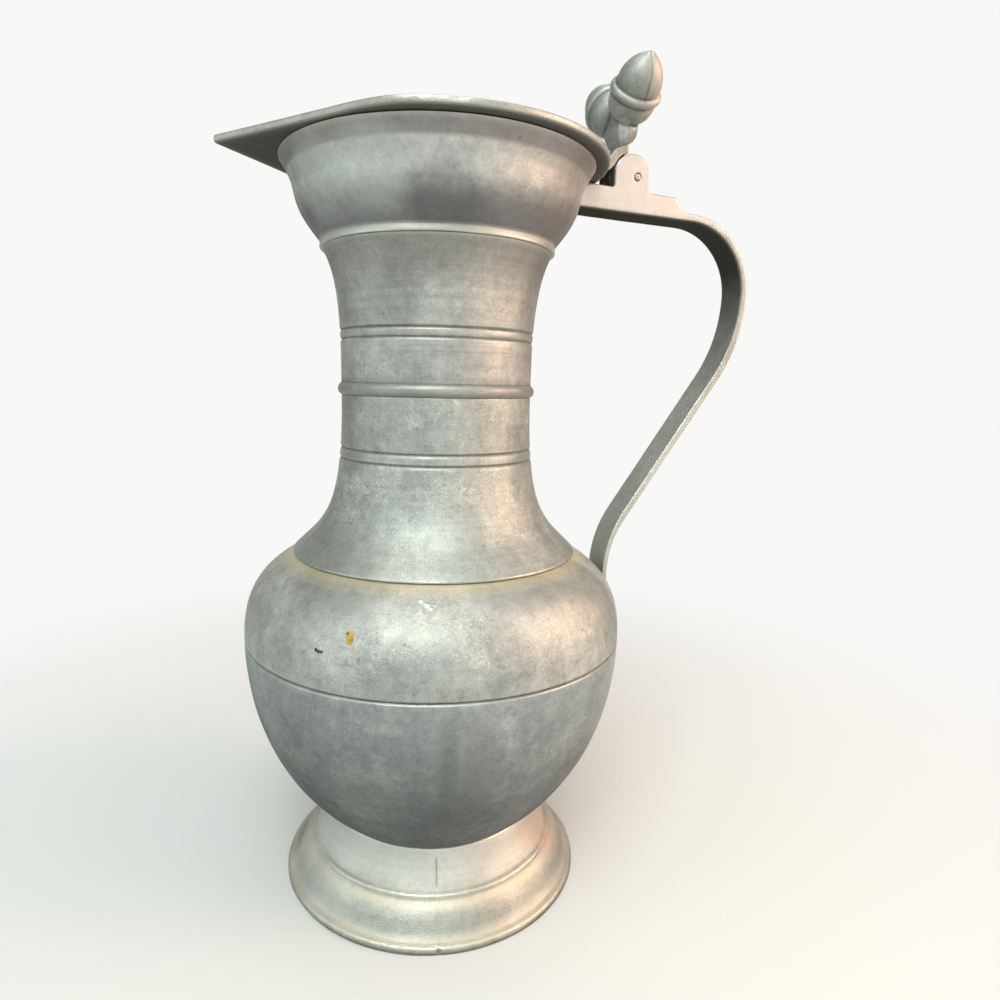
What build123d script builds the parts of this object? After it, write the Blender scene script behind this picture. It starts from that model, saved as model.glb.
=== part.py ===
from build123d import *
import os
from math import acos, cos, degrees, pi, radians, sin, sqrt, tan

# A cast pewter flagon with a hinged, heart-shaped lid. All sizes are millimetres.
# The origin is on the vessel's axis at the underside of the foot. The handle is on +X,
# the beak of the lid points to -X, and the hinge pin lies along Y.

# Foot
FOOT_R = 52.7            # radius of the edge that stands on the table
FOOT_EDGE_H = 2.3        # height of the edge band
FOOT_EDGE_DRAFT = 0.7    # how much the band narrows over its height
FOOT_EDGE_ROUND = 0.4
FOOT_EDGE_STEP = 1.4     # width of the step from the band in to the ogee
FOOT_STEP_RISE = 0.3
FOOT_STAND_W = 3.4       # width of the ring that touches the table
FOOT_BEAD_R = 43.8       # radius over the bead above the ogee
FOOT_BEAD_Z = 12.9
FOOT_BEAD_H = 1.6
FOOT_NECK_R = 42.0       # radius of the cone just above the bead
FOOT_OGEE_TOP = 1.4      # how far the ogee's upper end stands out from the cone
FOOT_OGEE_SLOPES = (42.0, 34.0)   # degrees of the ogee at its lower and upper end
FOOT_WALL = 2.4
FOOT_HOLLOW = 0.35       # how far the cone's side is hollowed
FOOT_INSIDE_RISE = 1.2   # height of the inner bend over the middle of the bead
FOOT_INSIDE_SLOPE = 62.0

# Vessel
WALL = 2.2               # cast wall
JOINT_W = 2.8            # width of the soldered joint faces
WAIST_R = 36.8           # where the belly stands on the foot
WAIST_Z = 25.2
BELLY_SLOPE = 40.0       # degrees above level where the belly leaves the foot
FLOOR_T = 2.6            # thickness of the vessel's flat bottom
BELLY_R = 64.4
SEAM_Z = 88.0            # seam between the belly and the shoulder, at the widest place
SEAM_CHAMFER = 0.4
SHOULDER_R = 47.5        # where the shoulder meets the neck
SHOULDER_Z = 116.4
SHOULDER_SLOPE = 28.0    # degrees above level at the top of the shoulder
NECK_LIP_OUT = 0.8       # how far the neck's lower edge stands out over the shoulder
NECK_LIP_H = 0.7
LIP_ROUND = 0.3          # how far the lips of the neck and the bowl fall back at their edges
NECK_SLOPE = 45.0        # degrees above level where the neck leaves its lip
NECK_R = 31.5            # narrowest place of the neck
NECK_JOINT_Z = 168.3     # joint in the middle of the neck, under its bead
NECK_BEAD_H = 3.9
NECK_BEAD_OUT = 1.2
NECK_TOP_R = 37.1
NECK_TOP_Z = 213.9
NECK_TOP_SLOPE = 60.5
GROOVES_DOWN = (17.1, 20.5)       # from the joint down to the two lower grooves
GROOVES_UP = (17.6, 20.5)         # from the joint up to the two upper ones
GROOVE_R = 0.55          # radius of the tool that turned the grooves
GROOVE_DEPTH = 0.4
BOWL_LIP_R = 37.95       # round moulding at the bottom of the mouth bowl
BOWL_LIP_H = 2.3
BOWL_SLOPES = (49.0, 55.5)        # degrees of the bowl's side at its bottom and at its rim
RIM_R = 50.0
RIM_Z = 240.0
RIM_ROUND = 0.5

# Handle
STRAP_W = 12.0
STRAP_T = 2.6
STRAP_TIP_T = 1.8        # thickness where the strap ends on the belly
STRAP_EDGE = 0.45        # rounding of the strap's long edges
ARM_DROP = 6.8           # from the rim down to the arm's underside, carried on to the axis
ARM_SLOPE = 1.6          # degrees that the arm's underside falls outwards
GRIP_OUT = 49.5          # from the belly's widest place out to the inner face of the grip
TOP_BEND = 23.7          # inner radius of the bend from the arm into the grip
GRIP_BEND = 53.0         # radius of the long bend of the grip
GRIP_TURN = 34.65        # degrees that the grip leans back to the vessel
TAIL_BEND = 40.0         # radius of the bend back to upright at the strap's end
TAIL_IN = 1.5            # how far its inner face ends inside the belly's widest radius
TAIL_UP = 16.0           # height over the seam where the strap's end is upright
STRAP_END_UP = 11.0
BLOCK_DROP = 1.1         # from the rim down to the top of the hinge block, under the pin
BLOCK_SLOPE = 2.9        # degrees that the block's top falls outwards
BLOCK_END_OUT = 17.5     # from the lugs' middle out to the block's end
BLOCK_END_SLOPE = 52.0   # degrees of the block's end, which runs down to the strap
ROOT_IN = 14.0           # how far the arm starts inside the rim, before it is cut to the bowl

# Hinge
LUG_OUT = 16.5           # from the rim out to the lugs' middle
LUG_UP = 3.7             # from the rim up to it
LUG_R = 6.85
LUG_T = 3.6
LUG_ROOT = 1.5           # how deep the lugs run into the block
PIN_OUT = 1.7            # from the lugs' middle out to the pin
PIN_DROP = 0.5
PIN_R = 1.2
PIN_PROUD = 0.35         # how far the hammered ends of the pin stand out
PIN_END_ROUND = 0.3
PIN_CLEARANCE = 0.05     # radial play of the pin in the lid's knuckle
SIDE_CLEARANCE = 0.2     # play on each side of the knuckle
HINGE_GAP = 0.45         # room round the knuckle and under the lid's tongue
LID_OPEN = 103.0         # degrees that the lid opens before the acorns meet the strap

# Lid
LID_GAP = 0.3            # the lid lies this far above the rim
LID_T = 2.1
LID_OVER = 4.0           # how far the lid stands out over the rim
BEAK_OVER = 17.6         # how far the beak's tip does
BEAK_ANGLE = 49.0        # degrees between the beak's side and the handle's plane
BEAK_ROUND = 1.6
BEAK_SIDE = 44.0         # length of the beak's straight side
LOBE_TURN = 112.0        # degrees from the hinge round to where a lobe of the heart begins
LID_EDGE = 0.5
TONGUE_W = 11.0
TONGUE_T = 1.9
TONGUE_TAIL_IN = 10.0    # how far inside the rim the tongue starts on top of the lid
TONGUE_END_IN = 1.9      # from the lugs' middle in to its other end
TONGUE_LEAVES = 155.0    # degrees round the lug from +X, where the tongue leaves it
TONGUE_RISE = (20.0, 62.0)        # slopes of its underside between the lid and the lug
TONGUE_TURN = 4.0        # how far inside the lid's edge the tongue's top turns up
SEAT_W = 2.6             # ledge of the tongue in front of the thumbpiece's foot
SEAT_SLOPE = 58.0        # slope of the tongue's top just below that ledge
TONGUE_CORNER = 0.3      # left straight between the rounded corners of its tail

# Thumbpiece
THUMB_IN = 1.7           # from the lugs' middle in to the middle of its foot on the tongue
THUMB_UP = 10.2          # from the lugs' middle up to it
THUMB_SLOPE = 24.7       # degrees that its foot slopes up towards the handle
THUMB_FOOT = 4.6         # length of the foot in the handle's plane
THUMB_FOOT_W = 9.6
STEM_UP = (3.7, 6.9)     # heights over the foot between which the stem has its full section
STEM_IN = 0.7            # from the foot's middle in to the stem's
STEM_L = 7.2
STEM_W = 14.8
STEM_RIDGE = 0.72        # width over the stem's corners, as a share of the width over its ridges
CROWN_DROP = 3.0         # how far the stem's narrowed top lies under the cups' mouths
CROWN_W = 11.2
ACORN_IN = 1.0           # from the foot's middle in to the middle of each cup's mouth
ACORN_UP = 14.6
ACORN_Y = 9.4
ACORN_SPLAY = 50.0       # degrees that the acorns lean out from upright
ACORN_LEAN = 3.0         # degrees that they lean towards the beak
CUP_R = 8.4
CUP_DEPTH = 9.8
CUP_WALL_IN = 0.5        # how far the cup's side lies inside its rolled lip
CUP_SLOPE = 98.0
CUP_LIP = 0.9            # radius of the lip
NUT_R = 7.4
NUT_SEAT = 1.3           # height where the nut shows above the cup's mouth
NUT_SLOPES = (86.0, 22.0)         # degrees of the nut's side at the cup and at its tip
NUT_LENGTH = 12.6

# Values worked out from the sizes above
ARM_Z = RIM_Z - ARM_DROP
GRIP_X = BELLY_R + GRIP_OUT
TAIL_X = BELLY_R - TAIL_IN
TAIL_Z = SEAM_Z + TAIL_UP
STRAP_END_Z = SEAM_Z + STRAP_END_UP
BLOCK_TOP_Z = RIM_Z - BLOCK_DROP
LUG_X = RIM_R + LUG_OUT
LUG_Z = RIM_Z + LUG_UP
BLOCK_END_X = LUG_X + BLOCK_END_OUT
PIN_X = LUG_X + PIN_OUT
PIN_Z = LUG_Z - PIN_DROP
KNUCKLE_W = STRAP_W - 2 * (LUG_T + SIDE_CLEARANCE)
LID_Z = RIM_Z + LID_GAP
LID_TOP_Z = LID_Z + LID_T
LID_R = RIM_R + LID_OVER
BEAK_X = RIM_R + BEAK_OVER
TONGUE_TAIL_X = RIM_R - TONGUE_TAIL_IN
TONGUE_END_X = LUG_X - TONGUE_END_IN
THUMB_X = LUG_X - THUMB_IN
THUMB_Z = LUG_Z + THUMB_UP
STEM_X = THUMB_X - STEM_IN
ACORN_X = THUMB_X - ACORN_IN
ACORN_Z = THUMB_Z + ACORN_UP


def at(x, z):
    """A point in the plane of the handle, which is also the plane of the turned sections."""
    return Vector(x, 0, z)


def bend(start, start_angle, start_pull, end, end_angle, end_pull):
    """A smooth curve that leaves start and reaches end at the given angles above level.

    The pulls say how far it keeps to those angles, as shares of the straight distance.
    """
    a, b = radians(start_angle), radians(end_angle)
    span = (end - start).length
    leave = start + at(cos(a), sin(a)) * span * start_pull
    reach = end - at(cos(b), sin(b)) * span * end_pull
    return Bezier(start, leave, reach, end)


def inside(outer, steps=10):
    """The inside of a cast wall, from its upper joint face down to its lower one."""
    points = [outer @ 0 - at(JOINT_W, 0)]
    for i in range(1, steps):
        run = outer % (i / steps)
        points.append(outer @ (i / steps) + at(-run.Z, run.X) * WALL)
    points.append(outer @ 1 - at(JOINT_W, 0))
    return Spline(*reversed(points))


def turned(*edges):
    """The ring-shaped solid that a closed section makes round the vessel's axis."""
    return revolve(make_face(Wire(list(edges))), Axis.Z)


def rings(solid, radius):
    """The circular edges of that radius round the vessel's axis."""
    return solid.edges().filter_by(GeomType.CIRCLE).filter_by(lambda e: abs(e.radius - radius) < 0.01)


def radius_at(outer, height):
    """The radius of a curve at a height, for a curve that only rises."""
    low, high = 0.0, 1.0
    for _ in range(40):
        middle = (low + high) / 2
        if (outer @ middle).Z < height:
            low = middle
        else:
            high = middle
    return (outer @ low).X


def groove(outer, height):
    """The ring of metal that a turned groove takes away from an outside."""
    radius = radius_at(outer, height) + GROOVE_R - GROOVE_DEPTH
    return Solid.make_torus(radius, GROOVE_R, Plane.XY.offset(height))


def belly_curve():
    return bend(at(WAIST_R, WAIST_Z), BELLY_SLOPE, 0.381, at(BELLY_R, SEAM_Z), 90.0, 0.315)


def shoulder_curve():
    top = at(SHOULDER_R, SHOULDER_Z)
    return bend(at(BELLY_R, SEAM_Z), 90.0, 0.455, top, 180.0 - SHOULDER_SLOPE, 0.41)


def lower_neck_curve():
    start = at(SHOULDER_R + NECK_LIP_OUT - LIP_ROUND, SHOULDER_Z + NECK_LIP_H)
    return bend(start, 180.0 - NECK_SLOPE, 0.249, at(NECK_R, NECK_JOINT_Z), 90.0, 0.745)


def upper_neck_curve():
    start, end = at(NECK_R, NECK_JOINT_Z + NECK_BEAD_H), at(NECK_TOP_R, NECK_TOP_Z)
    # The flare reaches down over this share of its width, so it never turns in past the tube
    flare = 0.85 * (NECK_TOP_R - NECK_R) / cos(radians(NECK_TOP_SLOPE))
    return bend(start, 90.0, 0.454, end, NECK_TOP_SLOPE, flare / (end - start).length)


def bowl_curve():
    start = at(BOWL_LIP_R - LIP_ROUND, NECK_TOP_Z + BOWL_LIP_H)
    return bend(start, BOWL_SLOPES[0], 0.66, at(RIM_R, RIM_Z), BOWL_SLOPES[1], 0.505)


def foot():
    """The spread foot: edge band, ogee, bead and a hollow cone, open underneath."""
    edge_top = at(FOOT_R - FOOT_EDGE_DRAFT, FOOT_EDGE_H)
    ogee_start = edge_top + at(-FOOT_EDGE_STEP, FOOT_STEP_RISE)
    ogee_end = at(FOOT_NECK_R + FOOT_OGEE_TOP, FOOT_BEAD_Z - FOOT_BEAD_H / 2)
    bead_top = at(FOOT_NECK_R, FOOT_BEAD_Z + FOOT_BEAD_H / 2)
    top = at(WAIST_R, WAIST_Z)
    cone_middle = (bead_top + top) * 0.5 - at(FOOT_HOLLOW, FOOT_HOLLOW / 2)
    bore = at(WAIST_R - JOINT_W, WAIST_Z)
    cone_foot = at(FOOT_NECK_R - FOOT_WALL, FOOT_BEAD_Z + FOOT_INSIDE_RISE)
    stand_edge = at(FOOT_R - FOOT_STAND_W, 0)
    low_slope, high_slope = FOOT_OGEE_SLOPES
    ring = turned(
        Line(at(FOOT_R, 0), edge_top),
        Line(edge_top, ogee_start),
        bend(ogee_start, 180.0 - low_slope, 0.35, ogee_end, 180.0 - high_slope, 0.35),
        ThreePointArc(ogee_end, at(FOOT_BEAD_R, FOOT_BEAD_Z), bead_top),
        ThreePointArc(bead_top, cone_middle, top),
        Line(top, bore),
        Line(bore, cone_foot),
        bend(cone_foot, -FOOT_INSIDE_SLOPE, 0.3, stand_edge, -FOOT_INSIDE_SLOPE, 0.3),
        Line(stand_edge, at(FOOT_R, 0)),
    )
    return fillet(rings(ring, FOOT_R), FOOT_EDGE_ROUND)


def lower_belly():
    """The lower half of the belly, a bowl with a flat bottom that stands on the foot."""
    outer = belly_curve()
    inner = inside(outer)
    floor = WAIST_Z + FLOOR_T
    corner = at(radius_at(outer, floor) - 2 * WALL, floor)
    wall = Spline(*[inner @ (i / 5) for i in range(5)], corner)
    cup = turned(
        outer,
        Line(outer @ 1, wall @ 0),
        wall,
        Line(corner, at(0, floor)),
        Line(at(0, floor), at(0, WAIST_Z)),
        Line(at(0, WAIST_Z), outer @ 0),
    )
    return chamfer(rings(cup, BELLY_R), SEAM_CHAMFER)


def shoulder():
    """The domed upper half of the belly, soldered to the lower half at the widest place."""
    outer = shoulder_curve()
    inner = inside(outer)
    dome = turned(outer, Line(outer @ 1, inner @ 0), inner, Line(inner @ 1, outer @ 0))
    return chamfer(rings(dome, BELLY_R), SEAM_CHAMFER)


def lower_neck():
    """The trumpet-shaped lower neck, whose lip lies over the top of the shoulder."""
    outer = lower_neck_curve()
    inner = inside(outer)
    lip = at(SHOULDER_R + NECK_LIP_OUT, SHOULDER_Z)
    bore = at(SHOULDER_R - JOINT_W, SHOULDER_Z)
    trumpet = turned(
        outer,
        Line(outer @ 1, inner @ 0),
        inner,
        Line(inner @ 1, bore),
        Line(bore, lip),
        Line(lip, outer @ 0),
    )
    for down in GROOVES_DOWN:
        trumpet -= groove(outer, NECK_JOINT_Z - down)
    return trumpet


def upper_neck():
    """The upper neck, with the half-round bead that covers the joint in the neck."""
    outer = upper_neck_curve()
    inner = inside(outer)
    joint = at(NECK_R, NECK_JOINT_Z)
    bore = at(NECK_R - JOINT_W, NECK_JOINT_Z)
    bead_middle = at(NECK_R + NECK_BEAD_OUT, NECK_JOINT_Z + NECK_BEAD_H / 2)
    tube = turned(
        outer,
        Line(outer @ 1, inner @ 0),
        inner,
        Line(inner @ 1, bore),
        Line(bore, joint),
        ThreePointArc(joint, bead_middle, outer @ 0),
    )
    for up in GROOVES_UP:
        tube -= groove(outer, NECK_JOINT_Z + up)
    return tube


def mouth_bowl():
    """The flared bowl of the mouth, with a round moulding where it sits on the neck."""
    outer = bowl_curve()
    inner = inside(outer)
    bore = at(NECK_TOP_R - JOINT_W, NECK_TOP_Z)
    lip = at(BOWL_LIP_R - LIP_ROUND, NECK_TOP_Z)
    bowl = turned(
        outer,
        Line(outer @ 1, inner @ 0),
        inner,
        Line(inner @ 1, bore),
        Line(bore, lip),
        ThreePointArc(lip, at(BOWL_LIP_R, NECK_TOP_Z + BOWL_LIP_H / 2), outer @ 0),
    )
    rim = bowl.edges().filter_by(GeomType.CIRCLE).group_by(Axis.Z)[-1]
    return fillet(rim, RIM_ROUND)


def filled(curves):
    """A part of the vessel's outside as a full solid, to fit the handle's ends against."""
    low, high = curves[0] @ 0, curves[-1] @ 1
    axis_low, axis_high = at(0, low.Z), at(0, high.Z)
    return turned(*curves, Line(high, axis_high), Line(axis_high, axis_low), Line(axis_low, low))


def arm_underside(x):
    return ARM_Z - x * tan(radians(ARM_SLOPE))


def block_top(x):
    return BLOCK_TOP_Z - (x - PIN_X) * tan(radians(BLOCK_SLOPE))


def arc(start, end, centre, radius, angle):
    """The arc from start to end whose middle lies at that angle round its centre."""
    return ThreePointArc(start, centre + at(cos(angle), sin(angle)) * radius, end)


def strap_section():
    """The side view of the strap handle with its hinge block, as one face."""
    slope, turn = radians(ARM_SLOPE), radians(GRIP_TURN)
    bend_x = GRIP_X - TOP_BEND
    start_x = bend_x - TOP_BEND * sin(slope)
    start = at(start_x, arm_underside(start_x))
    # The centres of the three bends: under the arm, in the grip and outside the tail
    centre = at(bend_x, start.Z - TOP_BEND * cos(slope))
    grip_centre = at(GRIP_X - GRIP_BEND, centre.Z)
    tail_centre = at(TAIL_X + TAIL_BEND, TAIL_Z)
    top_middle, grip_middle, tail_middle = (pi / 2 - slope) / 2, -turn / 2, pi - turn / 2

    # The inner face, from inside the bowl round to the strap's end on the belly
    root = at(RIM_R - ROOT_IN, arm_underside(RIM_R - ROOT_IN))
    upright = at(GRIP_X, centre.Z)
    lean = grip_centre + at(cos(turn), -sin(turn)) * GRIP_BEND
    tail_start = tail_centre + at(-cos(turn), sin(turn)) * TAIL_BEND
    tail = at(TAIL_X, TAIL_Z)
    tip = at(TAIL_X, STRAP_END_Z)
    inner = [
        Line(root, start),
        arc(start, upright, centre, TOP_BEND, top_middle),
        arc(upright, lean, grip_centre, GRIP_BEND, grip_middle),
        Line(lean, tail_start),
        arc(tail_start, tail, tail_centre, TAIL_BEND, tail_middle),
        Line(tail, tip),
    ]

    # The outer face, one strap thickness further out and thinner at the tail
    out = TOP_BEND + STRAP_T
    tail_out = TAIL_X + STRAP_TIP_T
    outer_start = centre + at(sin(slope), cos(slope)) * out
    outer_upright = at(GRIP_X + STRAP_T, centre.Z)
    outer_lean = grip_centre + at(cos(turn), -sin(turn)) * (GRIP_BEND + STRAP_T)
    run_gap = outer_lean.X - (outer_lean.Z - TAIL_Z) * tan(turn) - tail_out
    outer_bend = run_gap / (1 - cos(turn) - sin(turn) * tan(turn))
    outer_centre = at(tail_out + outer_bend, TAIL_Z)
    outer_tail_start = outer_centre + at(-cos(turn), sin(turn)) * outer_bend
    outer_tail = at(tail_out, TAIL_Z)
    outer_tip = at(tail_out, STRAP_END_Z)
    block_end = at(BLOCK_END_X, block_top(BLOCK_END_X))
    block_root = at(root.X, block_top(root.X))
    outer = [
        Line(tip, outer_tip),
        Line(outer_tip, outer_tail),
        arc(outer_tail, outer_tail_start, outer_centre, outer_bend, tail_middle),
        Line(outer_tail_start, outer_lean),
        arc(outer_lean, outer_upright, grip_centre, GRIP_BEND + STRAP_T, grip_middle),
        arc(outer_upright, outer_start, centre, out, top_middle),
        bend(outer_start, 180.0 - ARM_SLOPE, 0.47, block_end, 180.0 - BLOCK_END_SLOPE, 0.4),
        Line(block_end, block_root),
        Line(block_root, root),
    ]
    return make_face(Wire([*inner, *outer]))


def across(face, width):
    """A side view made solid, the same width each way from the handle's plane."""
    return extrude(face, amount=width / 2, both=True)


def disc(x, z, radius, width):
    """A round block along the hinge's axis, in the middle of the handle."""
    plane = Plane(origin=(x, width / 2, z), z_dir=(0, -1, 0))
    return Solid.make_cylinder(radius, width, plane)


def knuckle_slot():
    """The room between the lugs for the knuckle, from the closed lid to the open one."""
    turn = radians(LID_OPEN)
    dx, dz = LUG_X - PIN_X, LUG_Z - PIN_Z
    open_x = PIN_X + dx * cos(turn) + dz * sin(turn)
    open_z = PIN_Z - dx * sin(turn) + dz * cos(turn)
    radius = LUG_R + HINGE_GAP
    width = KNUCKLE_W + 2 * SIDE_CLEARANCE
    low_x, high_x = LUG_X - radius, open_x + radius
    above = Pos((low_x + high_x) / 2, 0, open_z + LUG_R) * Box(high_x - low_x, width, 2 * LUG_R)
    rest = disc(LUG_X, LUG_Z, radius, width)
    rest_top = Pos(LUG_X, 0, LUG_Z + LUG_R) * Box(2 * radius, width, 2 * LUG_R)
    return rest + rest_top + disc(open_x, open_z, radius, width) + above


def handle():
    """The strap handle, cast in one with the hinge block and its two lugs."""
    strap = across(strap_section(), STRAP_W)
    long_edges = strap.edges().filter_by(lambda e: abs(abs(e.center().Y) - STRAP_W / 2) < 0.01)
    strap = fillet(long_edges.filter_by(lambda e: e.center().X > RIM_R), STRAP_EDGE)
    lug_low = block_top(LUG_X) - LUG_ROOT
    lug_box = Pos(LUG_X, 0, (LUG_Z + lug_low) / 2) * Box(2 * LUG_R, STRAP_W, LUG_Z - lug_low)
    body = strap + disc(LUG_X, LUG_Z, LUG_R, STRAP_W) + lug_box
    body -= knuckle_slot() + disc(PIN_X, PIN_Z, PIN_R, 2 * STRAP_W)
    body -= filled([bowl_curve()])
    body -= filled([belly_curve(), shoulder_curve()])
    return body.solids().sort_by(SortBy.VOLUME)[-1]


def hinge_pin():
    """The pin through both lugs and the knuckle, with hammered, slightly domed ends."""
    length = STRAP_W + 2 * PIN_PROUD
    pin = disc(PIN_X, PIN_Z, PIN_R, length)
    ends = pin.edges().filter_by(GeomType.CIRCLE)
    return fillet(ends, PIN_END_ROUND)


def lid_outline():
    """Half of the heart from the hinge side to the beak's tip, mirrored to a closed line."""
    a = radians(BEAK_ANGLE)
    lobe = radians(LOBE_TURN)
    tip_centre = -BEAK_X + BEAK_ROUND
    side_start = Vector(tip_centre - BEAK_ROUND * sin(a), BEAK_ROUND * cos(a))
    side_end = side_start + Vector(cos(a), sin(a)) * BEAK_SIDE
    lobe_start = Vector(LID_R * cos(lobe), LID_R * sin(lobe))
    shoulder_pull = (side_end - lobe_start).length / 3
    lobe_pull = Vector(-sin(lobe), cos(lobe)) * shoulder_pull
    side_pull = Vector(cos(a), sin(a)) * shoulder_pull
    half = [
        ThreePointArc((LID_R, 0), (LID_R * cos(lobe / 2), LID_R * sin(lobe / 2)), lobe_start),
        Bezier(lobe_start, lobe_start + lobe_pull, side_end + side_pull, side_end),
        Line(side_end, side_start),
    ]
    edges = Curve() + half
    edges += mirror(edges, Plane.XZ)
    tip = ThreePointArc(side_start, (-BEAK_X, 0), (side_start.X, -side_start.Y))
    return make_face(Curve() + [*edges.edges(), tip])


def lid():
    """The flat heart-shaped lid plate."""
    plate = Pos(0, 0, LID_Z) * extrude(lid_outline(), amount=LID_T)
    rims = plate.edges().group_by(Axis.Z)
    return fillet(rims[0] + rims[-1], LID_EDGE)


def round_lug(radius, turn):
    """A point round the lug's centre, counted in degrees from +X upwards."""
    return at(LUG_X, LUG_Z) + at(cos(radians(turn)), sin(radians(turn))) * radius


def lid_tongue():
    """The tongue soldered on the lid, which rises over the lugs and carries the knuckle."""
    foot_slope = tan(radians(THUMB_SLOPE))
    room = LUG_R + HINGE_GAP
    end_low = at(TONGUE_END_X, LUG_Z + sqrt(room ** 2 - (TONGUE_END_X - LUG_X) ** 2))
    end_high = at(TONGUE_END_X, THUMB_Z + (TONGUE_END_X - THUMB_X) * foot_slope)
    seat_in = THUMB_FOOT / 2 + SEAT_W
    seat_low = at(THUMB_X - seat_in, THUMB_Z - seat_in * foot_slope)
    leave = round_lug(room, TONGUE_LEAVES)
    over = (90.0 + TONGUE_LEAVES) / 2
    edge = at(LID_R - LID_EDGE, LID_TOP_Z)
    tail_low = at(TONGUE_TAIL_X, LID_TOP_Z)
    tail_high = at(TONGUE_TAIL_X, LID_TOP_Z + TONGUE_T)
    turn_up = at(LID_R - TONGUE_TURN, LID_TOP_Z + TONGUE_T)
    side = Wire([
        Line(tail_low, edge),
        bend(edge, TONGUE_RISE[0], 0.28, leave, TONGUE_RISE[1], 0.26),
        ThreePointArc(leave, round_lug(room, over), end_low),
        Line(end_low, end_high),
        Line(end_high, seat_low),
        bend(seat_low, 180.0 + SEAT_SLOPE, 0.31, turn_up, 180.0, 0.31),
        Line(turn_up, tail_high),
        Line(tail_high, tail_low),
    ])
    tongue = across(make_face(side), TONGUE_W)
    tail_corners = tongue.edges().filter_by(Axis.Z).group_by(Axis.X)[0]
    tongue = fillet(tail_corners, TONGUE_W / 2 - TONGUE_CORNER)
    # The knuckle hangs from the tongue by the sector between its rim and the tongue's middle
    joined = room + TONGUE_T / 2
    last = degrees(acos((TONGUE_END_X - LUG_X) / joined))
    rise = [round_lug(joined, TONGUE_LEAVES), round_lug(joined, over), round_lug(joined, last)]
    centre = at(LUG_X, LUG_Z)
    sector = Wire([ThreePointArc(*rise), Line(rise[2], centre), Line(centre, rise[0])])
    knuckle = disc(LUG_X, LUG_Z, LUG_R, KNUCKLE_W) + across(make_face(sector), KNUCKLE_W)
    return tongue + knuckle - disc(PIN_X, PIN_Z, PIN_R + PIN_CLEARANCE, STRAP_W)


def acorn():
    """One acorn upright, with the mouth of its cup at the origin."""
    cup_low, tip = at(0, -CUP_DEPTH), at(0, NUT_LENGTH)
    cup_side = at(CUP_R - CUP_WALL_IN, -CUP_LIP)
    lip_in = at(CUP_R - CUP_LIP, CUP_LIP)
    nut_side = at(NUT_R, NUT_SEAT)
    side_slope, tip_slope = NUT_SLOPES
    return turned(
        bend(cup_low, 0.0, 0.55, cup_side, CUP_SLOPE, 0.42),
        ThreePointArc(cup_side, at(CUP_R, 0), lip_in),
        Line(lip_in, nut_side),
        bend(nut_side, side_slope, 0.46, tip, 180.0 - tip_slope, 0.25),
        Line(tip, cup_low),
    )


def ridged(length, width):
    """A six-sided section with a ridge in the middle of each side face."""
    x, y = length / 2, width / 2
    corner = y * STEM_RIDGE
    return make_face(Polyline((x, corner), (0, y), (-x, corner), (-x, -corner), (0, -y),
                              (x, -corner), close=True))


def thumbpiece():
    """The lever for the thumb: two acorns on a forked stem, cast in one."""
    tilt = radians(THUMB_SLOPE)
    foot_plane = Plane(origin=(THUMB_X, 0, THUMB_Z), x_dir=(cos(tilt), 0, sin(tilt)),
                       z_dir=(-sin(tilt), 0, cos(tilt)))
    base = foot_plane * ridged(THUMB_FOOT / cos(tilt), THUMB_FOOT_W)
    low, high = [Pos(STEM_X, 0, THUMB_Z + up) * ridged(STEM_L, STEM_W) for up in STEM_UP]
    crown = Pos(ACORN_X, 0, ACORN_Z - CROWN_DROP) * ridged(STEM_L, CROWN_W)
    body = loft([base, low]) + loft([low, high]) + loft([high, crown])
    for side in (-1, 1):
        place = Pos(ACORN_X, side * ACORN_Y, ACORN_Z)
        body += place * Rot(0, -ACORN_LEAN, 0) * Rot(-side * ACORN_SPLAY, 0, 0) * acorn()
    return body


PIECES = {
    "foot": foot,
    "lower_belly": lower_belly,
    "shoulder": shoulder,
    "lower_neck": lower_neck,
    "upper_neck": upper_neck,
    "mouth_bowl": mouth_bowl,
    "handle": handle,
    "hinge_pin": hinge_pin,
    "lid": lid,
    "lid_tongue": lid_tongue,
    "thumbpiece": thumbpiece,
}

os.makedirs("parts", exist_ok=True)
for name, build in PIECES.items():
    export_step(build(), "parts/" + name + ".step")
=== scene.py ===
from math import cos, pi, radians, sin, tan

import bmesh
import bpy
import numpy as np
from mathutils import Matrix, Vector


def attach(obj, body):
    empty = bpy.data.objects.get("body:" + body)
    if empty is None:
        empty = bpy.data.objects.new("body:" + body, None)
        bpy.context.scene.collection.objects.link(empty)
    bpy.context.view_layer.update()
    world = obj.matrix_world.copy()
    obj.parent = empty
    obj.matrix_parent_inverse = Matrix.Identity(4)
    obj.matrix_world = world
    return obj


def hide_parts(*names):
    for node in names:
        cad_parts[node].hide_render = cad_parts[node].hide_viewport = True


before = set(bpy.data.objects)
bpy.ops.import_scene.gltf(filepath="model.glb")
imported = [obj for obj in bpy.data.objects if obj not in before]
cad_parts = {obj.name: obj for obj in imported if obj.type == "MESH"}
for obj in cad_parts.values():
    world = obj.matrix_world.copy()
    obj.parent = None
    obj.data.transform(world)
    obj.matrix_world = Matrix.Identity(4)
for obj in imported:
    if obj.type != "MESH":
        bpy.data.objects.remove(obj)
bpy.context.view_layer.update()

# Foot
# The spread foot that the flagon stands on, cast in pewter, turned true on a lathe and soldered
# under the belly: an edge band, an ogee, a bead and a cone, open underneath.
MM = 0.001
JOINT_WIDTH = 2.8        # mm, of each soldered joint
FOOT_SEAM = -101.7       # degrees round the axis, where the mould's halves met
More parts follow.
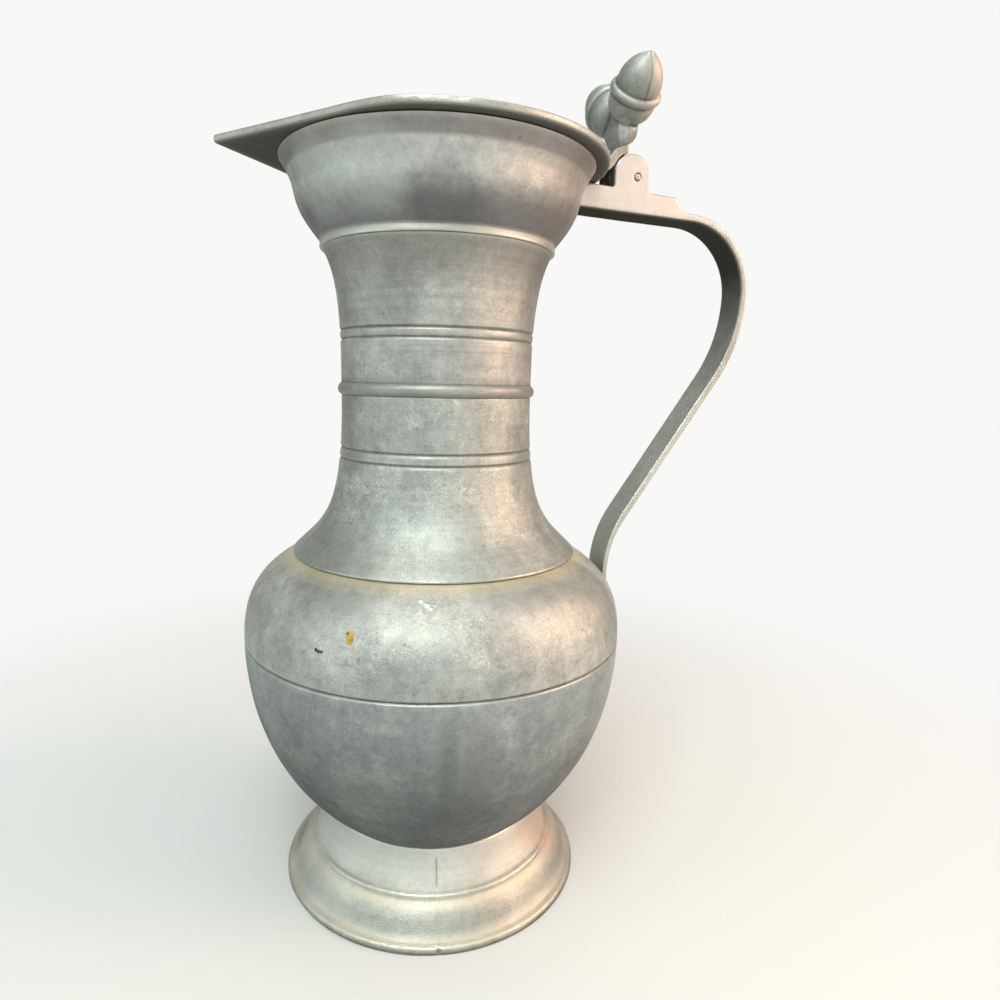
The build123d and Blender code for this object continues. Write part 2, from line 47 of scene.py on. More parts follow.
# Places on the outline, as (radius, height) in mm
EDGE_FOOT, EDGE_HEAD = (52.7, 0.0), (52.0, 2.3)
OGEE_FOOT, OGEE_HEAD = (50.6, 2.6), (43.4, 12.1)
BEAD_CREST, CONE_FOOT, CONE_MIDDLE = (43.55, 12.9), (42.15, 13.5), (39.05, 19.28)
WAIST = (36.8, 25.2)
HOLLOW_HEAD, HOLLOW_FOOT = (39.6, 14.1), (49.3, 0.0)


def bend_through(a, b, c, d, t):
    """Points at the shares t of a smooth bend that runs from a to d and is drawn to b and c."""
    return (1 - t) ** 3 * a + 3 * (1 - t) ** 2 * t * b + 3 * (1 - t) * t ** 2 * c + t ** 3 * d


def curve(start, leave, pull, end, reach, reach_pull, count=40):
    """Points (radius, height) in mm of a curve that leaves and arrives at these slopes."""
    a, d = np.array(start, float), np.array(end, float)
    span = np.linalg.norm(d - a)
    b = a + span * pull * np.array([cos(radians(leave)), sin(radians(leave))])
    c = d - span * reach_pull * np.array([cos(radians(reach)), sin(radians(reach))])
    return bend_through(a, b, c, d, np.linspace(0, 1, count)[:, None])


def moulding(start, crest, end, count=13):
    """Points of a round moulding through its two ends and its crest."""
    a, b, c = (np.array(p, float) for p in (start, crest, end))
    centre = np.linalg.solve(2 * np.array([b - a, c - a]), [b @ b - a @ a, c @ c - a @ a])
    first, last = (np.arctan2(*(p - centre)[::-1]) for p in (a, c))
    middle = np.arctan2(*(b - centre)[::-1])
    turn = (last - first) % (2 * pi)
    if (middle - first) % (2 * pi) > turn:
        turn -= 2 * pi
    angles = first + np.linspace(0, turn, count)
    radius = np.linalg.norm(a - centre)
    return centre + radius * np.stack([np.cos(angles), np.sin(angles)], 1)


POINT_STEP = 0.12                 # mm between the outline's points while it is rubbed
STRAY, LONGEST_STEP = 0.006, 2.4  # mm that a kept edge may lie off the outline, and its length


def worn(outline, softness):
    """The closed outline with its sharp corners rubbed round, and no more points than it needs."""
    loop = np.vstack([outline, outline[:1]])
    loop = loop[np.r_[True, np.linalg.norm(np.diff(loop, axis=0), axis=1) > 1e-6]]
    run = np.r_[0, np.cumsum(np.linalg.norm(np.diff(loop, axis=0), axis=1))]
    even = np.linspace(0, run[-1], int(run[-1] / POINT_STEP))[:-1]
    loop = np.stack([np.interp(even, run, loop[:, k]) for k in (0, 1)], 1)
    on_axis = loop[:, 0] < 1e-6
    for _ in range(softness):
        soft = (np.roll(loop, 1, 0) + 2 * loop + np.roll(loop, -1, 0)) / 4
        soft[on_axis, 0] = 0
        loop = soft
    half = len(loop) // 2
    keep = {0, half}
    spans = [(0, half), (half, len(loop))]
    whole = np.vstack([loop, loop[:1]])
    while spans:
        a, b = spans.pop()
        if b - a < 2:
            continue
        chord = whole[b] - whole[a]
        off = whole[a:b + 1] - whole[a]
        gap = np.abs(chord[0] * off[:, 1] - chord[1] * off[:, 0]) / (np.linalg.norm(chord) + 1e-9)
        far = int(gap.argmax())
        if gap[far] > STRAY or np.linalg.norm(chord) > LONGEST_STEP:
            far = far if 0 < far < b - a and gap[far] > STRAY else (b - a) // 2
            keep.add(a + far)
            spans += [(a, a + far), (a + far, b)]
    return loop[sorted(k % len(loop) for k in keep)]


def by_hand(place):
    """How far hand finishing leaves the metal from true, in slow waves over places in mm.

    It lies between -1.4 and 1.4, and each piece multiplies it by its own play in mm.
    """
    x, y, z = place.T
    return (0.5 * np.sin(x / 11 + z / 17 + 0.6) + 0.4 * np.sin(y / 8 - z / 12 + 2.1)
            + 0.3 * np.sin((x + y) / 5.3 + z / 7.1) + 0.2 * np.sin((x - y) / 3.7 - z / 4.3))


def points(mesh):
    """The places of a mesh's points, in metres, and their normals."""
    place, normal = np.empty((2, len(mesh.vertices) * 3))
    mesh.vertices.foreach_get("co", place)
    mesh.vertices.foreach_get("normal", normal)
    return place.reshape(-1, 3), normal.reshape(-1, 3)


FULL_BEND = 320          # per metre, where a hollow or an edge counts in full: one of about 1 mm radius


def wear(mesh):
    """Keeps on each point how hollow and how sharp the metal is there, for grime and shine."""
    count = len(mesh.vertices)
    place, normal = points(mesh)
    ends = np.empty(len(mesh.edges) * 2, np.int32)
    mesh.edges.foreach_get("vertices", ends)
    a, b = ends.reshape(-1, 2).T
    step = place[b] - place[a]
    size = (step ** 2).sum(1) + 1e-12

    def gather(at_a, at_b):
        return np.bincount(a, at_a, count) + np.bincount(b, at_b, count)

    met = np.maximum(gather(np.ones(len(a)), np.ones(len(a))), 1)
    bend = gather((normal[a] * step).sum(1) / size, -(normal[b] * step).sum(1) / size) / met
    for _ in range(5):
        bend = (bend + gather(bend[b], bend[a]) / met) / 2
    for name, value in (("hollow", bend / FULL_BEND), ("ridge", -bend / FULL_BEND)):
        kept = mesh.attributes.new(name, "FLOAT", "POINT")
        kept.data.foreach_set("value", np.clip(value, 0, 1).astype(np.float32))


def put(name, data):
    """A new object of this mesh, lamp or camera in the scene."""
    made = bpy.data.objects.new(name, data)
    bpy.context.scene.collection.objects.link(made)
    return made


def piece_of(name, mesh, body, node):
    """Puts a finished mesh in the scene as the piece that stands for a CAD node."""
    mesh.shade_smooth()
    wear(mesh)
    piece = put(name, mesh)
    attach(piece, body)
    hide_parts(node)
    return piece


def closed(mesh):
    """Joins the points of a mesh that lie on one place, and turns its faces outwards."""
    work = bmesh.new()
    work.from_mesh(mesh)
    bmesh.ops.remove_doubles(work, verts=work.verts, dist=1e-6)
    bmesh.ops.recalc_face_normals(work, faces=work.faces)
    work.to_mesh(mesh)
    work.free()
    return mesh


SEAM_WIDTH = 0.55        # mm, half the width of the fine ridge that the mould's seam leaves
NEAR_MARKS = (0.15, 0.4, 0.7, 1.1, 1.6)   # degrees beside a seam or dent where points stand


def turned(name, outline, seams=(), dents=(), play=0.09, around=None, spans=300, softness=5):
    """A mesh turned from a closed outline of (radius, height) in mm.

    seams are (degrees, low, high, height of the ridge); dents are (degrees, height, width, depth).
    """
    outline = worn(outline, softness)
    angles = set(np.linspace(-180, 180, spans, endpoint=False))
    for mark in (*seams, *dents):
        angles |= {mark[0] + side * step for step in NEAR_MARKS for side in (-1, 1)}
    angles = np.array(sorted(angles))
    radius = np.repeat(outline[None, :, 0], len(angles), 0)
    height = np.repeat(outline[None, :, 1], len(angles), 0)
    for where, low, high, proud in seams:
        across = (angles[:, None] - where) * pi / 180 * np.maximum(radius, 1)
        inside = np.clip((height - low) / 2, 0, 1) * np.clip((high - height) / 2, 0, 1)
        radius = radius + proud * np.exp(-(across / SEAM_WIDTH) ** 2) * inside
    for where, level, width, depth in dents:
        across = (angles[:, None] - where) * pi / 180 * np.maximum(radius, 1)
        radius = radius - depth * np.exp(-(across / width) ** 2 - ((height - level) / width) ** 2)
    turn = np.radians(angles)[:, None]
    place = np.stack([radius * np.cos(turn), radius * np.sin(turn), height], -1)
    flat = place.reshape(-1, 3)
    # The waves of the hand finish die out within 20 mm of the axis
    off = play * by_hand(flat) * np.clip(np.hypot(flat[:, 0], flat[:, 1]) / 20, 0, 1)
    flat[:, :2] *= 1 + (off / np.maximum(np.hypot(flat[:, 0], flat[:, 1]), 1))[:, None]
    rows, columns = place.shape[:2]
    i, j = np.meshgrid(np.arange(rows), np.arange(columns), indexing="ij")
    corner = [i * columns + j, (i + 1) % rows * columns + j,
              (i + 1) % rows * columns + (j + 1) % columns, i * columns + (j + 1) % columns]
    faces = np.stack(corner, -1).reshape(-1, 4)
    mesh = bpy.data.meshes.new(name)
    mesh.from_pydata((flat * MM).tolist(), [], faces.tolist())
    if around:
        mesh.transform(around)
    return closed(mesh)


def linear(code):
    """An sRGB hex colour as the linear values that a node takes."""
    parts = [int(code[k:k + 2], 16) / 255 for k in (1, 3, 5)]
    return (*(p / 12.92 if p <= 0.04045 else ((p + 0.055) / 1.055) ** 2.4 for p in parts), 1)


def add(tree, kind, settings=None, links=None, out=0):
    """Adds a node with its settings and links, and gives back one of its outputs."""
    node = tree.nodes.new(kind)
    for name, value in (settings or {}).items():
        if isinstance(name, int) or name in node.inputs:
            node.inputs[name].default_value = value
        else:
            setattr(node, name, value)
    for name, source in (links or {}).items():
        tree.links.new(source, node.inputs[name])
    return node.outputs[out]


def clouded(tree, place, tone, pale, dull):
    """The skin that age has clouded: pale patches and dull smudges, broken up by mottling.

    The patches are 26 mm across, the smudges 34 mm and the mottling 3 mm. Gives back the colour,
    the patches and the mottling.
    """
    patches = add(tree, "ShaderNodeTexNoise", {"Scale": 1 / (26 * MM), "Detail": 7.0, "Roughness": 0.64,
                  "Distortion": 0.6}, {"Vector": place})
    patches = add(tree, "ShaderNodeMapRange", {"From Min": 0.46, "From Max": 0.64}, {"Value": patches})
    smudges = add(tree, "ShaderNodeVectorMath", {"operation": "ADD", 1: (0.4, 0.7, 0.2)}, {0: place})
    smudges = add(tree, "ShaderNodeTexNoise", {"Scale": 1 / (34 * MM), "Detail": 7.0, "Roughness": 0.66},
                  {"Vector": smudges})
    smudges = add(tree, "ShaderNodeMapRange", {"From Min": 0.5, "From Max": 0.68}, {"Value": smudges})
    mottle = add(tree, "ShaderNodeTexNoise", {"Scale": 1 / (3 * MM), "Detail": 5.0, "Roughness": 0.75},
                 {"Vector": place})
    paler = add(tree, "ShaderNodeMath", {"operation": "MULTIPLY", 1: 0.6}, {0: patches})
    duller = add(tree, "ShaderNodeMath", {"operation": "MULTIPLY", 1: 0.6}, {0: smudges})
    colour = add(tree, "ShaderNodeMixRGB", {"Color1": linear(tone), "Color2": linear(pale)}, {"Fac": paler})
    colour = add(tree, "ShaderNodeMixRGB", {"Color2": linear(dull)}, {"Fac": duller, "Color1": colour})
    grain = add(tree, "ShaderNodeMapRange", {"From Min": 0.3, "From Max": 0.7, "To Min": 0.8,
                "To Max": 1.16}, {"Value": mottle})
    colour = add(tree, "ShaderNodeVectorMath", {"operation": "SCALE"}, {0: colour, "Scale": grain})
    return colour, patches, mottle


def wiped(tree, place, colour):
    """The colour with the faint runs, 9 mm across, that wiping has left down the metal."""
    runs = add(tree, "ShaderNodeVectorMath", {"operation": "MULTIPLY", 1: (1, 1, 0.12)}, {0: place})
    runs = add(tree, "ShaderNodeTexNoise", {"Scale": 1 / (9 * MM), "Detail": 4.0, "Roughness": 0.6},
               {"Vector": runs})
    runs = add(tree, "ShaderNodeMapRange", {"From Min": 0.35, "From Max": 0.65, "To Min": 0.91,
               "To Max": 1.07}, {"Value": runs})
    return add(tree, "ShaderNodeVectorMath", {"operation": "SCALE"}, {0: colour, "Scale": runs})


def speckled(tree, place, colour, patches, share):
    """The colour with flecks where the skin has worn through, most of them in the pale patches.

    Pale flecks are curled and 4 mm across, or grains of 0.5 mm, which are finer on the real metal.
    Dark ones are curled and 3 mm across. Gives back the colour and the grains.
    """
    curls = add(tree, "ShaderNodeTexNoise", {"Scale": 1 / (4 * MM), "Detail": 8.0, "Roughness": 0.78,
                "Distortion": 0.8}, {"Vector": place})
    curls = add(tree, "ShaderNodeMapRange", {"From Min": 0.53, "From Max": 0.64, "To Max": 0.6 * share},
                {"Value": curls})
    grains = add(tree, "ShaderNodeTexNoise", {"Scale": 1 / (0.5 * MM), "Detail": 2.0, "Roughness": 0.6},
                 {"Vector": place})
    specks = add(tree, "ShaderNodeMapRange", {"From Min": 0.54, "From Max": 0.66, "To Max": 0.6 * share},
                 {"Value": grains})
    room = add(tree, "ShaderNodeMapRange", {"To Min": 0.25}, {"Value": patches})
    for flecks in (curls, specks):
        flecks = add(tree, "ShaderNodeMath", {"operation": "MULTIPLY"}, {0: flecks, 1: room})
        colour = add(tree, "ShaderNodeMixRGB", {"Color2": linear("#e0dfd6")},
                     {"Fac": flecks, "Color1": colour})
    dark = add(tree, "ShaderNodeVectorMath", {"operation": "ADD", 1: (0.9, 0.3, 0.6)}, {0: place})
    dark = add(tree, "ShaderNodeTexNoise", {"Scale": 1 / (3 * MM), "Detail": 6.0, "Roughness": 0.75,
               "Distortion": 1.0}, {"Vector": dark})
    dark = add(tree, "ShaderNodeMapRange", {"From Min": 0.57, "From Max": 0.64, "To Max": 0.4 * share},
               {"Value": dark})
    colour = add(tree, "ShaderNodeMixRGB", {"Color2": linear("#73726d")}, {"Fac": dark, "Color1": colour})
    return colour, grains


def pitted(tree, place, colour):
    """The colour with pores in it, up to 1 mm across and about 4 mm apart, and the pores."""
    pores = add(tree, "ShaderNodeTexVoronoi", {"Scale": 1 / (4 * MM)}, {"Vector": place}, "Distance")
    chance = add(tree, "ShaderNodeTexVoronoi", {"Scale": 1 / (4 * MM)}, {"Vector": place}, "Color")
    chance = add(tree, "ShaderNodeSeparateColor", {}, {0: chance})
    sizes = add(tree, "ShaderNodeMapRange", {"From Min": 0.6, "From Max": 1.0, "To Max": 0.13},
                {"Value": chance})
    pits = add(tree, "ShaderNodeMath", {"operation": "LESS_THAN"}, {0: pores, 1: sizes})
    darker = add(tree, "ShaderNodeMath", {"operation": "MULTIPLY", 1: 0.5}, {0: pits})
    colour = add(tree, "ShaderNodeMixRGB", {"Color2": linear("#6b6a62")}, {"Fac": darker, "Color1": colour})
    return colour, pits


def banded(tree, level, mottle, colour, bands):
    """The colour with bands round the vessel, each at one height: dusty bands, and bands of painted light and
    painted shade.

    Each is (low, high, softness, colour, depth of the colour), the first three in mm, and the
    mottling makes its edges ragged.
    """
    for low, high, soft, mark_colour, depth in bands:
        rag = min(soft, 1.2) * MM
        ragged = add(tree, "ShaderNodeMath", {"operation": "MULTIPLY_ADD", 1: rag * 1.6, 2: -rag * 0.8},
                     {0: mottle})
        ragged = add(tree, "ShaderNodeMath", {"operation": "ADD"}, {0: level, 1: ragged})
        over = add(tree, "ShaderNodeMapRange", {"From Min": (low - soft) * MM,
                   "From Max": (low + soft) * MM, "To Max": depth}, {"Value": ragged})
        under = add(tree, "ShaderNodeMapRange", {"From Min": (high - soft) * MM,
                    "From Max": (high + soft) * MM, "To Min": 1.0, "To Max": 0.0}, {"Value": ragged})
        share = add(tree, "ShaderNodeMath", {"operation": "MULTIPLY"}, {0: over, 1: under})
        colour = add(tree, "ShaderNodeMixRGB", {"Color2": linear(mark_colour)}, {"Fac": share, "Color1": colour})
    return colour


def streaked(tree, here, level, mottle, colour, streaks):
    """The colour with long streaks down the metal.

    Each is (degrees round the axis, half its width, low, high, stain, depth of the stain), with
    the width and heights in mm.
    """
    for angle, width, low, high, mark_colour, depth in streaks:
        side = (-sin(radians(angle)), cos(radians(angle)), 0)
        front = (cos(radians(angle)), sin(radians(angle)), 0)
        off = add(tree, "ShaderNodeVectorMath", {"operation": "DOT_PRODUCT", 1: side}, {0: here}, "Value")
        off = add(tree, "ShaderNodeMath", {"operation": "ABSOLUTE"}, {0: off})
        ragged = add(tree, "ShaderNodeMath", {"operation": "MULTIPLY_ADD", 1: -width * MM * 1.2,
                     2: width * MM * 0.6}, {0: mottle})
        off = add(tree, "ShaderNodeMath", {"operation": "ADD"}, {0: off, 1: ragged})
        share = add(tree, "ShaderNodeMapRange", {"From Min": width * MM * 0.3, "From Max": width * MM,
                    "To Min": depth, "To Max": 0.0}, {"Value": off})
        forth = add(tree, "ShaderNodeVectorMath", {"operation": "DOT_PRODUCT", 1: front}, {0: here},
                    "Value")
        forth = add(tree, "ShaderNodeMapRange", {"From Min": 0.0, "From Max": 5 * MM}, {"Value": forth})
        fade = (high - low) * 0.2
        under = add(tree, "ShaderNodeMapRange", {"From Min": (high - fade) * MM, "From Max": high * MM,
                    "To Min": 1.0, "To Max": 0.0}, {"Value": level})
        over = add(tree, "ShaderNodeMapRange", {"From Min": low * MM, "From Max": (low + fade) * MM},
                   {"Value": level})
        for part in (forth, under, over):
            share = add(tree, "ShaderNodeMath", {"operation": "MULTIPLY"}, {0: share, 1: part})
        colour = add(tree, "ShaderNodeMixRGB", {"Color2": linear(mark_colour)}, {"Fac": share, "Color1": colour})
    return colour


def dusted_and_top_lit(tree, facing, mottle, colour, dust_and_top_light):
    """The colour paler on what faces up: a pale dusty film that has settled there, and painted light from
    above.
    """
    upward = add(tree, "ShaderNodeSeparateXYZ", {}, {0: facing}, 2)
    upward = add(tree, "ShaderNodeMapRange", {"From Min": 0.2, "From Max": 0.9, "To Max": dust_and_top_light},
                 {"Value": upward})
    settled = add(tree, "ShaderNodeMath", {"operation": "MULTIPLY_ADD", 1: 0.8, 2: 0.35}, {0: mottle})
    settled = add(tree, "ShaderNodeMath", {"operation": "MULTIPLY"}, {0: upward, 1: settled})
    return add(tree, "ShaderNodeMixRGB", {"Color2": linear("#d3cfc2")}, {"Fac": settled, "Color1": colour})


def painted_facing_shade(tree, facing, level, shaded_facing, depth, above):
    """How deep the painted shade is on what faces one way, where less light falls.

    shaded_facing is that direction, and above a height in mm: 45 mm lower, the painted shade has faded out.
    """
    share = add(tree, "ShaderNodeVectorMath", {"operation": "DOT_PRODUCT", 1: shaded_facing}, {0: facing},
                "Value")
    share = add(tree, "ShaderNodeMapRange", {"From Max": 0.5, "To Max": depth}, {"Value": share})
    if above:
        rises = add(tree, "ShaderNodeMapRange", {"From Min": (above - 45) * MM, "From Max": above * MM},
                    {"Value": level})
        share = add(tree, "ShaderNodeMath", {"operation": "MULTIPLY"}, {0: share, 1: rises})
    return share


def stains_and_painted_light(tree, here, colour, spots):
    """The colour with spots, each round a point on the surface, ragged at its edge: stains, and patches of
    painted light and painted shade.

    Each is (centre, size, colour, depth of the colour), with the centre and size in mm.
    """
    for centre, size, mark_colour, depth in spots:
        rag = min(size, 2.5)
        ragged = add(tree, "ShaderNodeTexNoise", {"Scale": 1 / (1.6 * MM), "Detail": 3.0},
                     {"Vector": here}, "Color")
        ragged = add(tree, "ShaderNodeVectorMath", {"operation": "SCALE", "Scale": rag * MM * 1.1},
                     {0: ragged})
        near = add(tree, "ShaderNodeVectorMath", {"operation": "ADD"}, {0: here, 1: ragged})
        middle = tuple((c + rag * 0.55) * MM for c in centre)
        near = add(tree, "ShaderNodeVectorMath", {"operation": "DISTANCE", 1: middle}, {0: near}, "Value")
        share = add(tree, "ShaderNodeMapRange", {"From Min": size * MM * 0.5, "From Max": size * MM * 0.8,
                    "To Min": depth, "To Max": 0.0}, {"Value": near})
        colour = add(tree, "ShaderNodeMixRGB", {"Color2": linear(mark_colour)}, {"Fac": share, "Color1": colour})
    return colour


def tooled(tree, here, place, level, colour, bump, rings, strokes):
    """The colour and the surface with the marks of the tools: rings of turning, strokes of a file."""
    if rings:
        # The rings are 1.4 mm apart here: 0.2 mm on the real one, too fine to show
        sides = add(tree, "ShaderNodeVectorMath", {"operation": "MULTIPLY", 1: (1, 1, 0)}, {0: here})
        out = add(tree, "ShaderNodeVectorMath", {"operation": "LENGTH"}, {0: sides}, "Value")
        ring = add(tree, "ShaderNodeCombineXYZ", {}, {0: out, 1: level})
        fade = add(tree, "ShaderNodeVectorMath", {"operation": "SCALE", "Scale": 0.02}, {0: place})
        ring = add(tree, "ShaderNodeVectorMath", {"operation": "ADD"}, {0: ring, 1: fade})
        turning = add(tree, "ShaderNodeTexNoise", {"Scale": 1 / (1.4 * MM), "Detail": 3.0}, {"Vector": ring})
        bump = add(tree, "ShaderNodeBump", {"Strength": rings, "Distance": 0.12 * MM},
                   {"Height": turning, "Normal": bump}, "Normal")
        shade = add(tree, "ShaderNodeMapRange", {"From Min": 0.3, "From Max": 0.7,
                    "To Min": 1 - 0.14 * rings, "To Max": 1 + 0.14 * rings}, {"Value": turning})
        colour = add(tree, "ShaderNodeVectorMath", {"operation": "SCALE"}, {0: colour, "Scale": shade})
    if strokes:
        # The strokes run across the strap, 0.8 mm apart
        stroke = add(tree, "ShaderNodeVectorMath", {"operation": "MULTIPLY", 1: (1, 0.08, 1)}, {0: place})
        filed = add(tree, "ShaderNodeTexNoise", {"Scale": 1 / (0.8 * MM), "Detail": 2.0}, {"Vector": stroke})
        bump = add(tree, "ShaderNodeBump", {"Strength": strokes, "Distance": 0.1 * MM},
                   {"Height": filed, "Normal": bump}, "Normal")
    return colour, bump


def pewter(name, tone, pale, dull, dust_and_top_light=0.3, rings=0.3, strokes=0.0, grime=0.5, polish=0.3,
           shaded_facing=(0, 0, -1), darkened=0.5, dark_above=None, flecks=1.0, bands=(), spots=(),
           streaks=(), gloss=0.48, shift=0.0):
    """Old pewter: a tin alloy that dulls to a mottled grey skin, and shines where it is rubbed.

    tone, pale and dull are the colours of its skin. bands, streaks and spots are stains, dusty bands,
    painted light and painted shade at their own places. shaded_facing and dark_above say where painted
    shade darkens what faces that way, by default what faces down, and darkened how deep it is. dust
    is also painted light on what faces up. gloss is the least roughness, and shift moves the patterns
    from piece to piece. The others say how strong the other layers are.
    """
    material = bpy.data.materials.new(name)
    material.use_nodes = True
    tree = material.node_tree
    tree.nodes.clear()
    here = add(tree, "ShaderNodeTexCoord", out="Object")
    place = add(tree, "ShaderNodeVectorMath", {"operation": "ADD", 1: (shift, shift / 2, shift / 3)},
                {0: here})
    level = add(tree, "ShaderNodeSeparateXYZ", {}, {0: here}, 2)
    facing = add(tree, "ShaderNodeTexCoord", out="Normal")
    hollow = add(tree, "ShaderNodeAttribute", {"attribute_name": "hollow"}, out="Fac")
    ridge = add(tree, "ShaderNodeAttribute", {"attribute_name": "ridge"}, out="Fac")

    colour, patches, mottle = clouded(tree, place, tone, pale, dull)
    colour = wiped(tree, place, colour)
    colour, grains = speckled(tree, place, colour, patches, flecks)
    colour, pits = pitted(tree, place, colour)
    colour = banded(tree, level, mottle, colour, bands)
    colour = streaked(tree, here, level, mottle, colour, streaks)
    # Dust on what faces up, which is also painted light from above
    colour = dusted_and_top_lit(tree, facing, mottle, colour, dust_and_top_light)
    # Painted shade on what faces one way, by default down, where less light falls
    facing_shade = painted_facing_shade(tree, facing, level, shaded_facing, darkened, dark_above)
    grimy = add(tree, "ShaderNodeMath", {"operation": "MULTIPLY", 1: grime}, {0: hollow})
    bright = add(tree, "ShaderNodeMath", {"operation": "MULTIPLY", 1: polish}, {0: ridge})
    # 42413c is painted shade, #3b3a35 the grime in the hollows and #d3d2c8 the rubbed edges
    for mark_colour, share in (("#42413c", facing_shade), ("#3b3a35", grimy), ("#d3d2c8", bright)):
        colour = add(tree, "ShaderNodeMixRGB", {"Color2": linear(mark_colour)}, {"Fac": share, "Color1": colour})
    colour = stains_and_painted_light(tree, here, colour, spots)

    # Shallow dents 14 mm across, grains of the casting's skin, and pores
    dents = add(tree, "ShaderNodeTexNoise", {"Scale": 1 / (14 * MM), "Detail": 2.0}, {"Vector": place})
    bump = add(tree, "ShaderNodeBump", {"Strength": 0.5, "Distance": 0.6 * MM}, {"Height": dents}, "Normal")
    bump = add(tree, "ShaderNodeBump", {"Strength": 0.8, "Distance": 0.15 * MM},
               {"Height": grains, "Normal": bump}, "Normal")
    bump = add(tree, "ShaderNodeBump", {"Strength": 0.6, "Distance": 0.2 * MM, "invert": True},
               {"Height": pits, "Normal": bump}, "Normal")
    colour, bump = tooled(tree, here, place, level, colour, bump, rings, strokes)

    # Rubbed metal shines more than clouded skin, and where the painted shade lies the metal is no mirror at
    # all
    rough = add(tree, "ShaderNodeMapRange", {"To Min": gloss, "To Max": gloss + 0.14}, {"Value": patches})
    for share, more in ((ridge, -0.12), (hollow, 0.2), (facing_shade, 0.2)):
        rough = add(tree, "ShaderNodeMath", {"operation": "MULTIPLY_ADD", 1: more}, {0: share, 2: rough})
    metal = add(tree, "ShaderNodeMapRange", {"To Min": 0.86, "To Max": 0.0}, {"Value": facing_shade})
    surface = add(tree, "ShaderNodeBsdfPrincipled", {"Specular IOR Level": 0.0},
                  {"Base Color": colour, "Metallic": metal, "Roughness": rough, "Normal": bump})
    tree.links.new(surface, tree.nodes.new("ShaderNodeOutputMaterial").inputs["Surface"])
    return material


foot_outline = np.vstack([
    [EDGE_FOOT, EDGE_HEAD],
    curve(OGEE_FOOT, 138.0, 0.35, OGEE_HEAD, 146.0, 0.35),
    moulding(OGEE_HEAD, BEAD_CREST, CONE_FOOT),
    moulding(CONE_FOOT, CONE_MIDDLE, WAIST),
    [(WAIST[0] - JOINT_WIDTH, WAIST[1])],
    curve(HOLLOW_HEAD, -62.0, 0.3, HOLLOW_FOOT, -62.0, 0.3),
])
foot_mesh = turned("foot_cast", foot_outline, seams=[(FOOT_SEAM, 1, 24, 0.07)],
                   dents=[(FOOT_SEAM + 0.3, 1.2, 0.9, 0.4)], softness=60)
foot = piece_of("foot_cast", foot_mesh, "vessel_body", "foot")
# Cast pewter, turned: a pale skin with a pale patch on the left, warm dust under the bead, a warm
# beige band along the top of the edge, and a dark seam up the front. Painted shade darkens the
# bottom of the edge band, the lower ogee and what faces down; painted light brightens the cone, in
# pink on its right, and with the pale dust what faces up
foot.data.materials.append(pewter(
    "cast_pewter_turned_foot", "#babdb8", "#d6d7d1", "#8f928b", dust_and_top_light=0.5, grime=0.4, polish=0.1, shift=0.31,
    # Bands: painted shade along the bottom, a warm beige band, painted shade on the lower ogee, painted light
    # on the cone, warm dust under the bead
    bands=[(-2, 1.1, 0.5, "#77776f", 0.6), (1.6, 3.6, 0.7, "#dccab0", 0.5), (3.8, 7.4, 0.9, "#94968f", 0.4),
           (14.5, 30, 2.0, "#dedfda", 0.55), (9.6, 12.6, 1.1, "#e0ceb2", 0.45)],
    # Spots: painted warm light on the cone's right, and a pale patch on the left
    spots=[((36.0, -20.0, 16.5), 17, "#dfbda9", 0.4), ((27.0, -27.0, 20.5), 12, "#dfbda9", 0.3),
           ((-45.0, -12.0, 7.0), 30, "#dddfd9", 0.45)],
    streaks=[(FOOT_SEAM, 0.45, 14, 23.5, "#73736b", 0.7), (FOOT_SEAM, 0.3, 1, 13, "#8a897f", 0.4)]))

# Lower belly
# The lower half of the belly, a cast bowl with a flat bottom that stands in the foot's opening.
# It is turned outside, and its upper edge is bevelled for the seam at the widest place.
WALL = 2.2               # mm, of every cast wall of the vessel
SEAM = (64.4, 88.0)
BEVEL_INNER, BEVEL_OUTER = 63.6, 64.38   # mm, radii of the bevels that meet in the seam
BEVEL_LOW, BEVEL_HIGH = 87.45, 88.55
BOTTOM_TOP, BOTTOM_CORNER = 27.8, 35.4
belly_side = curve(WAIST, 40.0, 0.381, SEAM, 90.0, 0.315, 70)


def inner_face(outer):
    """The inside of a cast wall, from the top down, level with the joint faces at both ends."""
    along = np.gradient(outer, axis=0)
    along /= np.linalg.norm(along, axis=1)[:, None]
    inner = outer + WALL * np.stack([-along[:, 1], along[:, 0]], 1)
    inner[0], inner[-1] = outer[0] - (JOINT_WIDTH, 0), outer[-1] - (JOINT_WIDTH, 0)
    inner = inner[(inner[:, 1] > outer[0, 1] + 0.5) & (inner[:, 1] < outer[-1, 1] - 0.5)]
    return np.vstack([outer[-1:] - (JOINT_WIDTH, 0), inner[::-1], outer[:1] - (JOINT_WIDTH, 0)])


inside = inner_face(belly_side)
belly_outline = np.vstack([
    belly_side[belly_side[:, 1] < BEVEL_LOW - 0.15],
    [(BEVEL_OUTER, BEVEL_LOW), (BEVEL_INNER, SEAM[1])],
    inside[inside[:, 1] > BOTTOM_TOP + 3.2],
    [(BOTTOM_CORNER, BOTTOM_TOP), (0.0, BOTTOM_TOP), (0.0, WAIST[1])],
])
belly = piece_of("lower_belly_cast", turned("lower_belly_cast", belly_outline),
                 "vessel_body", "lower_belly")
# Cast pewter, turned: the smoothest skin of the vessel, with painted shade underneath and dull streaks in
# front
belly.data.materials.append(pewter(
    "cast_pewter_turned_belly", "#a0a7a8", "#bcc1c1", "#7b858a", rings=0.2, polish=0.12, flecks=0.6,
    shaded_facing=(-0.25, 0, -0.97),
    streaks=[(-100.0, 3.6, 38, 88, "#7c807e", 0.4), (-92.0, 6.0, 44, 88, "#92918c", 0.3)]))

